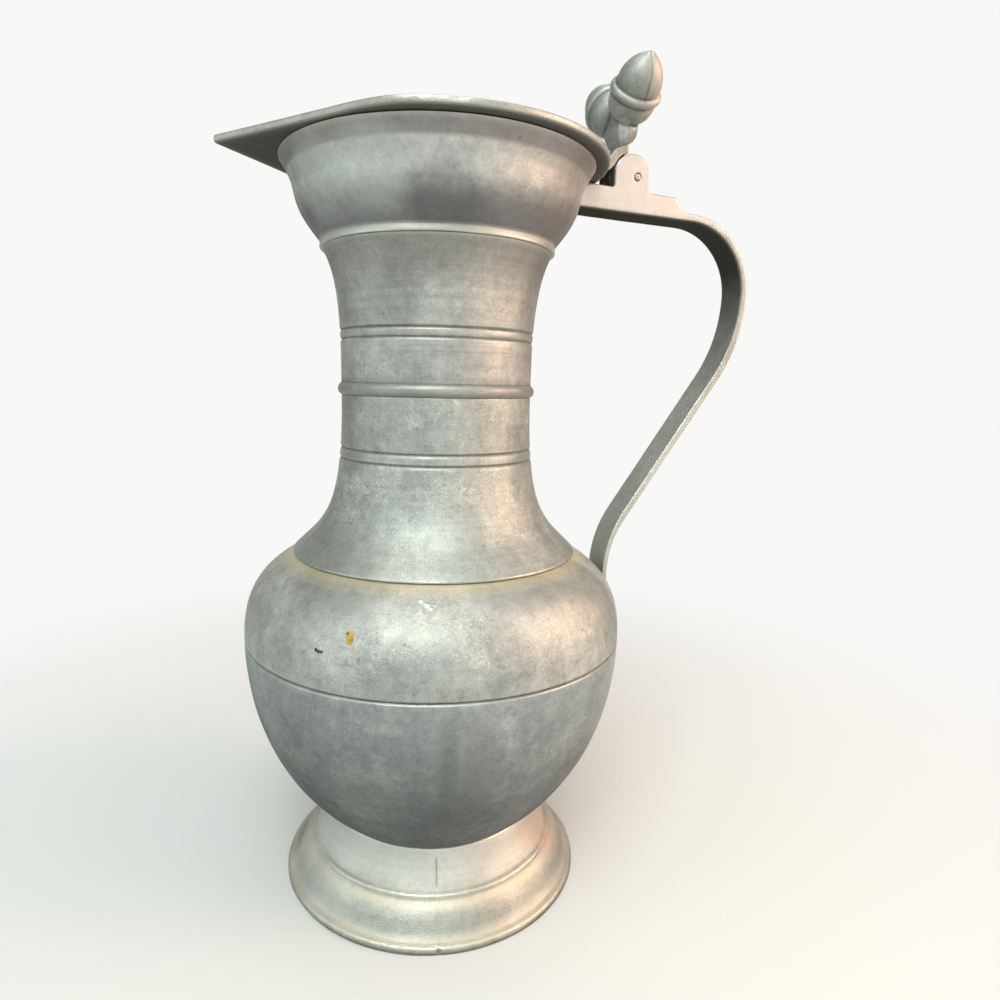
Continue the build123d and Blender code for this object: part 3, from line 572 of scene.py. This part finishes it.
# Shoulder
# The domed upper half of the belly, soldered to the lower half. The seam was turned to a fine
# dark line. It carries a rust-brown stain, and a dark one nearer to the beak.
SHOULDER_TOP = (47.5, 116.4)
shoulder_side = curve(SEAM, 90.0, 0.455, SHOULDER_TOP, 152.0, 0.41, 60)
shoulder_outline = np.vstack([
    [(BEVEL_INNER, SEAM[1]), (BEVEL_OUTER, BEVEL_HIGH)],
    shoulder_side[shoulder_side[:, 1] > BEVEL_HIGH + 0.15],
    inner_face(shoulder_side),
])
shoulder_mesh = turned("shoulder_cast", shoulder_outline, seams=[(-177.0, 100, 116, 0.2)])
shoulder = piece_of("shoulder_cast", shoulder_mesh, "vessel_body", "shoulder")
# Cast pewter, turned: pale and dusty, the dust also painted light on what faces up, mottled, yellowed under
# the neck's lip, with small stains
rust_stain = [((-35.8, -48.9, 105.2), 1.5, "#bfa973", 0.85), ((-35.9, -49.5, 104.1), 2.2, "#bb9c5b", 0.9),
              ((-35.8, -50.2, 103.0), 1.3, "#b9954c", 0.9), ((-36.5, -48.8, 105.1), 0.8, "#5d4522", 0.85),
              ((-35.3, -50.2, 103.6), 0.9, "#9a742f", 0.6)]
dark_stain = [((-44.6, -44.7, 99.5), 0.8, "#33332d", 0.95), ((-43.9, -45.3, 99.3), 0.9, "#3b3b35", 0.9),
              ((-43.2, -46.0, 99.3), 0.7, "#33332d", 0.9)]
white_specks = [((-17.7, -49.9, 113.6), 0.6, "#f4f3ee", 0.7), ((-16.5, -50.6, 113.1), 0.9, "#f4f3ee", 0.9),
                ((-15.6, -51.5, 112.6), 0.6, "#f4f3ee", 0.6), ((-14.9, -52.0, 112.1), 1.1, "#f4f3ee", 0.9),
                ((-14.3, -53.1, 111.4), 0.8, "#f4f3ee", 0.8), ((-12.9, -52.6, 112.0), 0.6, "#f4f3ee", 0.7)]
shoulder.data.materials.append(pewter(
    "cast_pewter_turned_shoulder", "#a6aaa7", "#c8cac5", "#84868a", dust_and_top_light=0.35, rings=0.2, grime=0.3,
    shift=0.12, bands=[(114.6, 118, 1.3, "#f2dfac", 0.6)], spots=rust_stain + dark_stain + white_specks))

# Lower neck
# The trumpet-shaped lower half of the neck, whose lip lies over the shoulder. Two grooves are
# turned round it under the joint, and the mould's seam shows faintly on the beak's side.
GROOVE, GROOVE_DEPTH = 0.55, 0.42    # mm, radius of the tool and how deep it went
LIP_FOOT, LIP_HEAD, NECK_JOINT = (48.1, 116.5), (48.0, 117.1), (31.5, 168.3)
LOWER_GROOVES = (147.8, 151.2)


def grooved(side, levels):
    """The side with a half-round groove turned in at each of these heights."""
    cut = side
    for level in levels:
        radius = np.interp(level, side[:, 1], side[:, 0])
        middle = np.array([radius + GROOVE - GROOVE_DEPTH, level])
        angles = np.radians(np.linspace(250, 110, 11))
        dip = middle + GROOVE * np.stack([np.cos(angles), np.sin(angles)], 1)
        below, above = cut[:, 1] < dip[:, 1].min() - 0.05, cut[:, 1] > dip[:, 1].max() + 0.05
        cut = np.vstack([cut[below], dip, cut[above]])
    return cut


lower_neck_side = curve(LIP_HEAD, 135.0, 0.249, NECK_JOINT, 90.0, 0.745, 90)
lower_neck_outline = np.vstack([
    [LIP_FOOT],
    grooved(lower_neck_side, LOWER_GROOVES),
    inner_face(lower_neck_side)[:-1],
    [(SHOULDER_TOP[0] - JOINT_WIDTH, SHOULDER_TOP[1])],
])
lower_neck_mesh = turned("lower_neck_cast", lower_neck_outline, seams=[(-175.5, 118, 146, 0.22)])
lower_neck = piece_of("lower_neck_cast", lower_neck_mesh, "vessel_body", "lower_neck")
# Cast pewter, turned: clouded and finely pitted, with rings from the tool
lower_neck.data.materials.append(pewter(
    "cast_pewter_turned_lower_neck", "#a1a6a2", "#b5b8b3", "#878c88", dust_and_top_light=0.25, rings=0.4, grime=0.35,
    polish=0.12, shift=0.47))

# Upper neck
# The upper half of the neck, cast with the half-round bead that hides the joint, and turned. Two
# grooves run round it over the bead. It is soldered to the lower half.
BEAD_MIDDLE, BEAD_TOP, NECK_TOP = (32.7, 170.25), (31.5, 172.2), (37.1, 213.9)
UPPER_GROOVES = (185.9, 188.8)
upper_neck_side = curve(BEAD_TOP, 90.0, 0.454, NECK_TOP, 60.5, 0.23, 80)
upper_neck_outline = np.vstack([
    moulding(NECK_JOINT, BEAD_MIDDLE, BEAD_TOP, 15),
    grooved(upper_neck_side, UPPER_GROOVES)[1:],
    inner_face(upper_neck_side)[:-1],
    [(NECK_JOINT[0] - JOINT_WIDTH, NECK_JOINT[1])],
])
upper_neck = piece_of("upper_neck_cast", turned("upper_neck_cast", upper_neck_outline),
                      "vessel_body", "upper_neck")
# Cast pewter, turned: a little browner than the rest, with painted shade under the bowl and on the bead, and
# strong tool rings
upper_neck.data.materials.append(pewter(
    "cast_pewter_turned_upper_neck", "#a5a7a4", "#b8b9b5", "#868785", rings=0.5, darkened=0.15, flecks=0.7,
    # Bands: painted shade under the bowl's lip and on the bead
    bands=[(203, 215, 4.0, "#716e69", 0.4), (168, 172.0, 0.4, "#7b7d7a", 0.5)], shift=0.83))

# Mouth bowl
# The flared bowl that the lid closes. Its lower edge is a lip that stands a little over the neck,
# to which it is soldered.
BOWL_LIP_FOOT, BOWL_LIP_HEAD, BOWL_FOOT, RIM = (37.95, 213.9), (37.95, 214.7), (37.65, 216.0), (50.0, 240.0)
bowl_side = curve(BOWL_FOOT, 49.0, 0.66, RIM, 55.5, 0.505, 60)
bowl_outline = np.vstack([
    [BOWL_LIP_FOOT, BOWL_LIP_HEAD],
    bowl_side,
    inner_face(bowl_side)[:-1],
    [(NECK_TOP[0] - JOINT_WIDTH, NECK_TOP[1])],
])
bowl = piece_of("mouth_bowl_cast", turned("mouth_bowl_cast", bowl_outline, play=0.05),
                "vessel_body", "mouth_bowl")
# Cast pewter, turned: the lid's painted shadow under its edge, painted shade over the lower curve
# above the lip, in front and on the right, a painted highlight on the lip itself, and paler skin towards the
# beak
bowl.data.materials.append(pewter(
    "cast_pewter_turned_bowl", "#b0b2b0", "#c6c7c4", "#8d8b8d", rings=0.2, grime=0.2, shift=1.27,
    darkened=0.0, flecks=0.6,
    # Bands: the lid's painted shadow at the rim, painted shade over the lower curve, a painted highlight on
    # the lip
    bands=[(235.6, 242, 0.5, "#6c676b", 0.6), (212, 225.0, 2.8, "#4c4c52", 0.6),
           (210, 216.3, 0.4, "#b9bab4", 0.95)],
    # Spots: paler skin towards the beak, painted shade in front low down and on the right
    spots=[((-39.0, -18.5, 229.5), 17, "#c3cbc9", 0.3), ((-27.5, -34.0, 229.5), 18, "#c3cbc9", 0.3),
           ((-8.5, -41.5, 221.0), 16, "#4c4c52", 0.35), ((35.0, -31.0, 229.0), 24, "#8c7c72", 0.3)]))

# Handle
# The strap handle, cast in one with its hinge block and the two lugs that hold the pin. It was
# filed smooth, soldered to the bowl and the belly, and years of use have rounded its edges.


def recast(name, meshes, grain, soft, play, laid=False):
    """One casting of these meshes run together, with its edges rubbed round. grain is in mm.

    With laid, its points are evened out and laid back on the meshes before the rubbing.
    """
    work = bmesh.new()
    for mesh in meshes:
        work.from_mesh(mesh)
    bmesh.ops.remove_doubles(work, verts=work.verts, dist=1e-7)
    mesh = bpy.data.meshes.new(name)
    work.to_mesh(mesh)
    work.free()
    rough, true = put(name + ".rough", mesh), put(name + ".true", mesh)
    run = rough.modifiers.new("run together", "REMESH")
    run.mode, run.voxel_size = "VOXEL", grain * MM
    if laid:
        rough.modifiers.new("evened", "SMOOTH").iterations = 16
        rough.modifiers.new("laid on", "SHRINKWRAP").target = true
    rub = rough.modifiers.new("rubbed", "SMOOTH")
    rub.factor, rub.iterations = 0.5, soft
    whole = bpy.data.meshes.new_from_object(rough.evaluated_get(bpy.context.evaluated_depsgraph_get()))
    whole.name = name
    bpy.data.objects.remove(rough)
    bpy.data.objects.remove(true)
    place, normal = points(whole)
    place += normal * (play * MM * by_hand(place / MM))[:, None]
    whole.vertices.foreach_set("co", place.ravel())
    whole.materials.clear()
    return whole


handle_mesh = recast("handle_cast", [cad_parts["handle"].data], grain=0.35, soft=4, play=0.04, laid=True)
handle = piece_of("handle_cast", handle_mesh, "vessel_body", "handle")
# Cast pewter, filed: faint strokes across the strap, edges rubbed bright by hands, a paler block and
# lower strap, and painted shade under the arm and inside the upper bend
handle.data.materials.append(pewter(
    "cast_pewter_filed_strap", "#a3a49f", "#bbbab2", "#7d7f79", dust_and_top_light=0.2, rings=0, strokes=0.2, polish=0.15,
    shaded_facing=(-0.62, 0, -0.78), darkened=1.0, dark_above=215, flecks=0.2, shift=2.1,
    bands=[(230, 270, 3.0, "#d8d4d0", 0.6), (95, 170, 18.0, "#cdcfc9", 0.5)]))

# Hinge pin
# A short pewter pin, pushed through both lugs and the knuckle and hammered over at its ends.
PIN_R, PIN_HALF = 1.2, 6.36              # mm, its radius and half its length
PIN_PLACE = (0.0682, 0, 0.2432)          # metres, where the hinge's axis runs
half_pin = [(PIN_R, 5.9), (1.1, 6.2), (0.8, 6.34), (0.0, PIN_HALF)]
pin_outline = np.array([(r, -z) for r, z in reversed(half_pin)] + half_pin)
lie_along_y = Matrix.Translation(PIN_PLACE) @ Matrix.Rotation(pi / 2, 4, "X")
pin_mesh = turned("hinge_pin_hammered", pin_outline, play=0.0, around=lie_along_y, spans=40)
pin = piece_of("hinge_pin_hammered", pin_mesh, "vessel_body", "hinge_pin")
# Cast pewter, hammered: dull ends with a fine dark line round them
pin.data.materials.append(pewter(
    "cast_pewter_hammered_pin", "#b3aba1", "#bdb8ad", "#827d74", rings=0, polish=0.0, shift=2.9))

# Lid
# The heart-shaped lid, a cast plate that lies on the rim. Its round lobes stand over the bowl and
# its beak over the place where the flagon pours.
LID_LOW, LID_TOP, LID_R = 240.3, 242.4, 54
BEAK_TIP, BEAK_ROUND, BEAK_SIDE = -67.6, 1.6, 44
BEAK_ANGLE = 49          # degrees, between the beak's side and its middle line
LOBE_TURN = 112          # degrees from the hinge's side round to where a lobe runs into the beak
EDGE_INSET = 0.6         # mm, from the lid's edge in to where its faces are flat
CROWN = 0.3              # mm that the lid's top is fuller in the middle


def heart():
    """The lid's outline as (x, y) points in mm, counted round from the hinge's side."""
    lobe, side = radians(LOBE_TURN), radians(BEAK_ANGLE)
    tip = BEAK_TIP + BEAK_ROUND
    tip_start = np.array([tip - BEAK_ROUND * sin(side), BEAK_ROUND * cos(side)])
    side_end = tip_start + BEAK_SIDE * np.array([cos(side), sin(side)])
    lobe_start = LID_R * np.array([cos(lobe), sin(lobe)])
    pull = np.linalg.norm(side_end - lobe_start) / 3
    round_side = [(LID_R * cos(a), LID_R * sin(a)) for a in np.linspace(0, lobe, 110)]
    b = lobe_start + pull * np.array([-sin(lobe), cos(lobe)])
    c = side_end + pull * np.array([cos(side), sin(side)])
    turn = bend_through(lobe_start, b, c, side_end, np.linspace(0, 1, 16)[1:, None])
    straight = side_end + np.linspace(0, 1, 44)[1:, None] * (tip_start - side_end)
    tip_round = [(tip + BEAK_ROUND * cos(a), BEAK_ROUND * sin(a))
                 for a in np.linspace(pi / 2 + side, pi, 8)[1:]]
    half = np.vstack([round_side, turn, straight, tip_round])
    return np.vstack([half, (half[1:-1] * (1, -1))[::-1]])


# Rings of points from the middle of the underside out, up over the rubbed edge, and in on top
edge = heart()
along = np.roll(edge, -1, 0) - np.roll(edge, 1, 0)
inward = np.stack([-along[:, 1], along[:, 0]], 1) / np.linalg.norm(along, axis=1)[:, None]
flat_edge = edge + inward * EDGE_INSET
rings = [np.column_stack([flat_edge * share, np.full(len(edge), LID_LOW)])
         for share in np.linspace(0.02, 0.98, 26)]
# How far in from the edge, and how far over the underside, the rubbed edge has its rings
EDGE_RINGS = [(EDGE_INSET, 0.0), (0.3, 0.05), (0.1, 0.2), (0.0, 0.5), (0.0, 1.05), (0.0, 1.6), (0.1, 1.9),
              (0.3, 2.05), (EDGE_INSET, 2.1)]
for inset, level in EDGE_RINGS:
    rings.append(np.column_stack([edge + inward * inset, np.full(len(edge), LID_LOW + level)]))
for share in np.linspace(0.98, 0.02, 26):
    fuller = CROWN * np.clip((0.8 - share) / 0.6, 0, 1)
    rings.append(np.column_stack([flat_edge * share, np.full(len(edge), LID_TOP + fuller)]))
place = np.array(rings)
# A small nick in the upper corner of the edge, on the -Y side
NICK_X, NICK_Y, NICK_WIDTH, NICK_LOW = -8.2, -53.2, 1.1, 241.4
NICK_DEPTH = 0.011       # as a share of the lid's radius
reach = np.hypot(place[..., 0] - NICK_X, place[..., 1] - NICK_Y)
nick = NICK_DEPTH * np.exp(-(reach / NICK_WIDTH) ** 2) * (place[..., 2] > NICK_LOW)
place[..., :2] *= (1 - nick)[..., None]
flat = place.reshape(-1, 3)
flat[:, 2] += 0.05 * by_hand(flat) * np.clip(np.hypot(flat[:, 0], flat[:, 1]) / 20, 0, 1)
columns = len(edge)
faces = [(i * columns + j, (i + 1) * columns + j, (i + 1) * columns + (j + 1) % columns,
          i * columns + (j + 1) % columns) for i in range(len(rings) - 1) for j in range(columns)]
faces += [tuple(range(columns)), tuple((len(rings) - 1) * columns + j for j in reversed(range(columns)))]
lid_mesh = bpy.data.meshes.new("lid_plate")
lid_mesh.from_pydata((flat * MM).tolist(), [], faces)
lid = piece_of("lid_plate", closed(lid_mesh), "lid_body", "lid")
# Cast pewter, scraped flat: clouded, with painted shade underneath and a rubbed edge
lid.data.materials.append(pewter(
    "cast_pewter_scraped_lid", "#9ea19d", "#babbb4", "#727570", dust_and_top_light=0.35, rings=0, darkened=0.9, shift=3.7))

# Lid tongue
# The tongue that rises from the lid over the lugs and ends in the hinge's knuckle. It is cast in
# pewter, filed, and soldered on the lid.
tongue_mesh = recast("lid_tongue_cast", [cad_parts["lid_tongue"].data], grain=0.3, soft=2, play=0.02)
tongue = piece_of("lid_tongue_cast", tongue_mesh, "lid_body", "lid_tongue")
# Cast pewter, filed: a little browner than the plate where solder ran over it, with painted shade on what
# faces down and in towards the vessel
tongue.data.materials.append(pewter(
    "cast_pewter_filed_tongue", "#a09c93", "#b8b3a7", "#7a7770", dust_and_top_light=0.3, rings=0, strokes=0.4, polish=0.15,
    shaded_facing=(-0.5, 0, -0.86), darkened=0.85, shift=4.4))

# Thumbpiece
# Two acorns on a forked stem, cast in one piece in a two-part mould whose seam runs over both
# nuts, and soldered on the tongue. The thumb presses it down to lift the lid.
ACORN = (63.8, 9.4, 268.5)
ACORN_LEAN, ACORN_SPLAY = 3.0, 50.0      # degrees, back over the handle and out to the side
# Places on an acorn's outline, as (radius, height) in mm from its middle
CUP_END, CUP_HEAD, LIP_CREST = (0.0, -9.8), (7.7, -1.6), (8.7, -0.1)
NUT_FOOT, NUT_TIP = (7.3, 1.4), (0.0, 12.6)
cup_side = curve(CUP_END, 0.0, 0.55, CUP_HEAD, 98.0, 0.42)
nut_side = curve(NUT_FOOT, 86.0, 0.46, NUT_TIP, 158.0, 0.25)
acorn_outline = np.vstack([cup_side, moulding(CUP_HEAD, LIP_CREST, NUT_FOOT), nut_side])
castings = []
for side in (-1, 1):
    spot = Matrix.Translation(Vector((ACORN[0], side * ACORN[1], ACORN[2])) * MM)
    lean = Matrix.Rotation(radians(-ACORN_LEAN), 4, "Y")
    splay = Matrix.Rotation(radians(-side * ACORN_SPLAY), 4, "X")
    castings.append(turned("acorn", acorn_outline, play=0.0, around=spot @ (lean @ splay), spans=72))
# The stem's sections: middle (x, z), slope in degrees, length and width in mm
sections = [((64.8, 253.9), 24.7, 4.6, 9.6), ((64.5, 255.6), 12.0, 6.3, 12.6),
            ((64.1, 257.6), 0.0, 7.2, 14.8), ((64.1, 260.8), 0.0, 7.2, 14.8),
            ((63.8, 265.5), 0.0, 7.2, 11.2)]
# Each has ten corners, as shares of half its length and half its width, for a facetted stem
near_half = [(1, 0.72), (0.55, 0.92), (0, 1), (-0.55, 0.92), (-1, 0.72)]
corners = near_half + [(u, -v) for u, v in reversed(near_half)]
stem = bmesh.new()
rows = []
for (x, z), slope, length, width in sections:
    row = []
    for u, v in corners:
        run = u * length / 2
        row.append(stem.verts.new(Vector((x + run, v * width / 2, z + run * tan(radians(slope)))) * MM))
    rows.append(row)
for low, high in zip(rows, rows[1:]):
    for k in range(len(low)):
        n = (k + 1) % len(low)
        stem.faces.new((low[k], low[n], high[n], high[k]))
stem.faces.new(rows[0][::-1])
stem.faces.new(rows[-1])
bmesh.ops.recalc_face_normals(stem, faces=stem.faces)
stem_mesh = bpy.data.meshes.new("stem")
stem.to_mesh(stem_mesh)
stem.free()
thumb_mesh = recast("thumbpiece_cast", castings + [stem_mesh], grain=0.3, soft=2, play=0.03)
# The seam of the mould: a fine groove and step over both acorns, across the handle's line
SEAM_STEP, SEAM_GROOVE, SEAM_LOW = 0.22, 0.34, 262.0
place, normal = points(thumb_mesh)
place /= MM
off = place[:, 0] - ACORN[0] + tan(radians(ACORN_LEAN)) * (place[:, 2] - ACORN[2])
high = np.clip((place[:, 2] - SEAM_LOW) / 3, 0, 1)
depth = high * (SEAM_STEP * np.clip(off / 0.3, 0, 1) - SEAM_GROOVE * np.exp(-(off / 0.22) ** 2))
thumb_mesh.vertices.foreach_set("co", ((place + normal * depth[:, None]) * MM).ravel())
thumb = piece_of("thumbpiece_cast", thumb_mesh, "lid_body", "thumbpiece")
# Cast pewter as it left the mould: matt, grimy in its hollows, with painted warm light on the near acorn's
# side towards the handle, a painted highlight on the stem and a little painted shade underneath
thumb.data.materials.append(pewter(
    "cast_pewter_as_moulded", "#a3a6a1", "#bec0bb", "#7a7e7a", dust_and_top_light=0.15, rings=0, grime=0.7, gloss=0.56,
    darkened=0.2, shift=5.2,
    # Spots: painted warm light on the near acorn's side towards the handle, a painted highlight on the stem
    spots=[((72.5, -13.0, 274.0), 15, "#d8c8be", 0.55), ((72, -9.0, 265), 11, "#d2c1b7", 0.45),
           ((60.5, -7.0, 257.0), 5, "#ced1cd", 0.5)]))

# Room
# Matt white paper that lies under the flagon and sweeps up behind it, soft lamps on the left, in
# front and above, a warm one on the right, and a pale sky. Its sizes are in metres.
PAPER_FRONT, PAPER_BACK, PAPER_BEND, PAPER_TOP, PAPER_HALF = 0.9, -0.9, 0.5, 2.4, 2.2
PAPER_TURN = -104.0      # degrees round the axis, so that the camera sees its back behind the flagon
profile = [(PAPER_FRONT, 0.0), (PAPER_BACK, 0.0)]
profile += [(PAPER_BACK - PAPER_BEND * sin(a), PAPER_BEND - PAPER_BEND * cos(a))
            for a in np.linspace(0, pi / 2, 14)[1:]]
profile.append((PAPER_BACK - PAPER_BEND, PAPER_TOP))
toward = Matrix.Rotation(radians(PAPER_TURN), 4, "Z")
sweep = bmesh.new()
rows = [[sweep.verts.new(toward @ Vector((x, y, z))) for x, z in profile] for y in (-PAPER_HALF, PAPER_HALF)]
for k in range(len(profile) - 1):
    sweep.faces.new((rows[0][k], rows[0][k + 1], rows[1][k + 1], rows[1][k]))
bmesh.ops.recalc_face_normals(sweep, faces=sweep.faces)
sweep_mesh = bpy.data.meshes.new("sweep")
sweep.to_mesh(sweep_mesh)
sweep.free()
sweep_mesh.shade_smooth()
floor = put("sweep", sweep_mesh)
# Matt paper with a painted shadow round the flagon: for all but the camera's rays its colour is
# darker there, which darkens what looks down on it. The camera sees it a little paler there, and as plain
# near-white further away
paper = bpy.data.materials.new("matt_paper")
paper.use_nodes = True
tree = paper.node_tree
matt = tree.nodes["Principled BSDF"]
matt.inputs["Roughness"].default_value = 0.95
to_camera = add(tree, "ShaderNodeLightPath", out="Is Camera Ray")
reach = add(tree, "ShaderNodeVectorMath", {"operation": "LENGTH"},
            {0: add(tree, "ShaderNodeTexCoord", out="Object")}, "Value")
# Painted shadow: the paper's colour is dark within 0.09 m of the middle and plain beyond 0.2 m
past_painted_shadow = add(tree, "ShaderNodeMapRange", {"From Min": 0.09, "From Max": 0.2}, {"Value": reach})
tint = add(tree, "ShaderNodeMixRGB", {"Color1": linear("#8f8f8d"), "Color2": linear("#dcdcda")}, {"Fac": past_painted_shadow})
tint = add(tree, "ShaderNodeMixRGB", {"Color2": linear("#dadad9")}, {"Fac": to_camera, "Color1": tint})
tree.links.new(tint, matt.inputs["Base Color"])
far = add(tree, "ShaderNodeMapRange", {"interpolation_type": "SMOOTHSTEP", "From Min": 0.1,
          "From Max": 0.42}, {"Value": reach})
far = add(tree, "ShaderNodeMath", {"operation": "MULTIPLY"}, {0: far, 1: to_camera})
plain = add(tree, "ShaderNodeEmission", {"Color": linear("#f8f8f7")})
paper_surface = add(tree, "ShaderNodeMixShader", {}, {0: far, 1: matt.outputs[0], 2: plain})
tree.links.new(paper_surface, tree.nodes["Material Output"].inputs["Surface"])
sweep_mesh.materials.append(paper)


def lamp(name, place, aim, size, watts, colour):
    """A soft square lamp at a place, turned to what it lights."""
    light = bpy.data.lights.new(name, "AREA")
    light.size, light.energy, light.color = size, watts, colour
    hung = put(name, light)
    hung.location = place
    hung.rotation_euler = (Vector(aim) - Vector(place)).to_track_quat("-Z", "Y").to_euler()


MIDDLE = (0, 0, 0.14)    # the flagon's middle
lamp("window_front", (-0.34, -0.66, 0.95), MIDDLE, 0.65, 8, (0.91, 1.0, 0.955))
lamp("window_left", (-1.0, -0.15, 0.45), MIDDLE, 0.7, 2.3, (0.87, 1.0, 0.955))
lamp("lamp_right", (0.9, -0.45, 0.5), MIDDLE, 0.6, 8, (1.0, 0.69, 0.51))
lamp("front_soft", (0.05, -1.35, 0.33), MIDDLE, 1.2, 4.8, (0.95, 1.0, 0.955))
lamp("top_soft", (0.1, -0.1, 1.5), (0, 0, 0), 1.2, 7, (0.95, 1.0, 0.98))

# The camera sees the same plain near-white past the paper's edge; the sky's own light is weaker
world = bpy.data.worlds.new("pale_room")
world.use_nodes = True
tree = world.node_tree
to_camera = add(tree, "ShaderNodeLightPath", out="Is Camera Ray")
sky = add(tree, "ShaderNodeMixRGB", {"Color1": linear("#e9e9e6"), "Color2": linear("#f8f8f7")},
          {"Fac": to_camera})
strength = add(tree, "ShaderNodeMapRange", {"To Min": 0.4, "To Max": 1.0}, {"Value": to_camera})
tree.links.new(sky, tree.nodes["Background"].inputs["Color"])
tree.links.new(strength, tree.nodes["Background"].inputs["Strength"])
bpy.context.scene.world = world

# Camera
# It stands close to the flagon, a little below the rim, and looks slightly down. The photograph
# was cropped, so its middle lies a little beside the lens.
SENSOR = 36              # mm
FOCAL = 0.69546          # focal length as a share of the picture's width
HEADING, PITCH, ROLL = 72.29, -9.81, 1.26      # degrees, from +X, up, and round the line of sight
STANDS = (-0.05767, -0.23132, 0.1739)          # metres
camera_data = bpy.data.cameras.new("camera")
camera_data.sensor_width = SENSOR
camera_data.lens = SENSOR * FOCAL
camera_data.shift_x = 0.02
camera_data.clip_start = 0.01
camera = put("camera", camera_data)
heading, pitch, roll = radians(HEADING), radians(PITCH), radians(ROLL)
ahead = Vector((cos(heading) * cos(pitch), sin(heading) * cos(pitch), sin(pitch)))
right = Vector((sin(heading), -cos(heading), 0))
up = right.cross(ahead)
right, up = cos(roll) * right + sin(roll) * up, cos(roll) * up - sin(roll) * right
turn = Matrix((right, up, -ahead)).transposed().to_4x4()
camera.matrix_world = Matrix.Translation(STANDS) @ turn
bpy.context.scene.camera = camera
bpy.context.scene.view_settings.view_transform = "Standard"
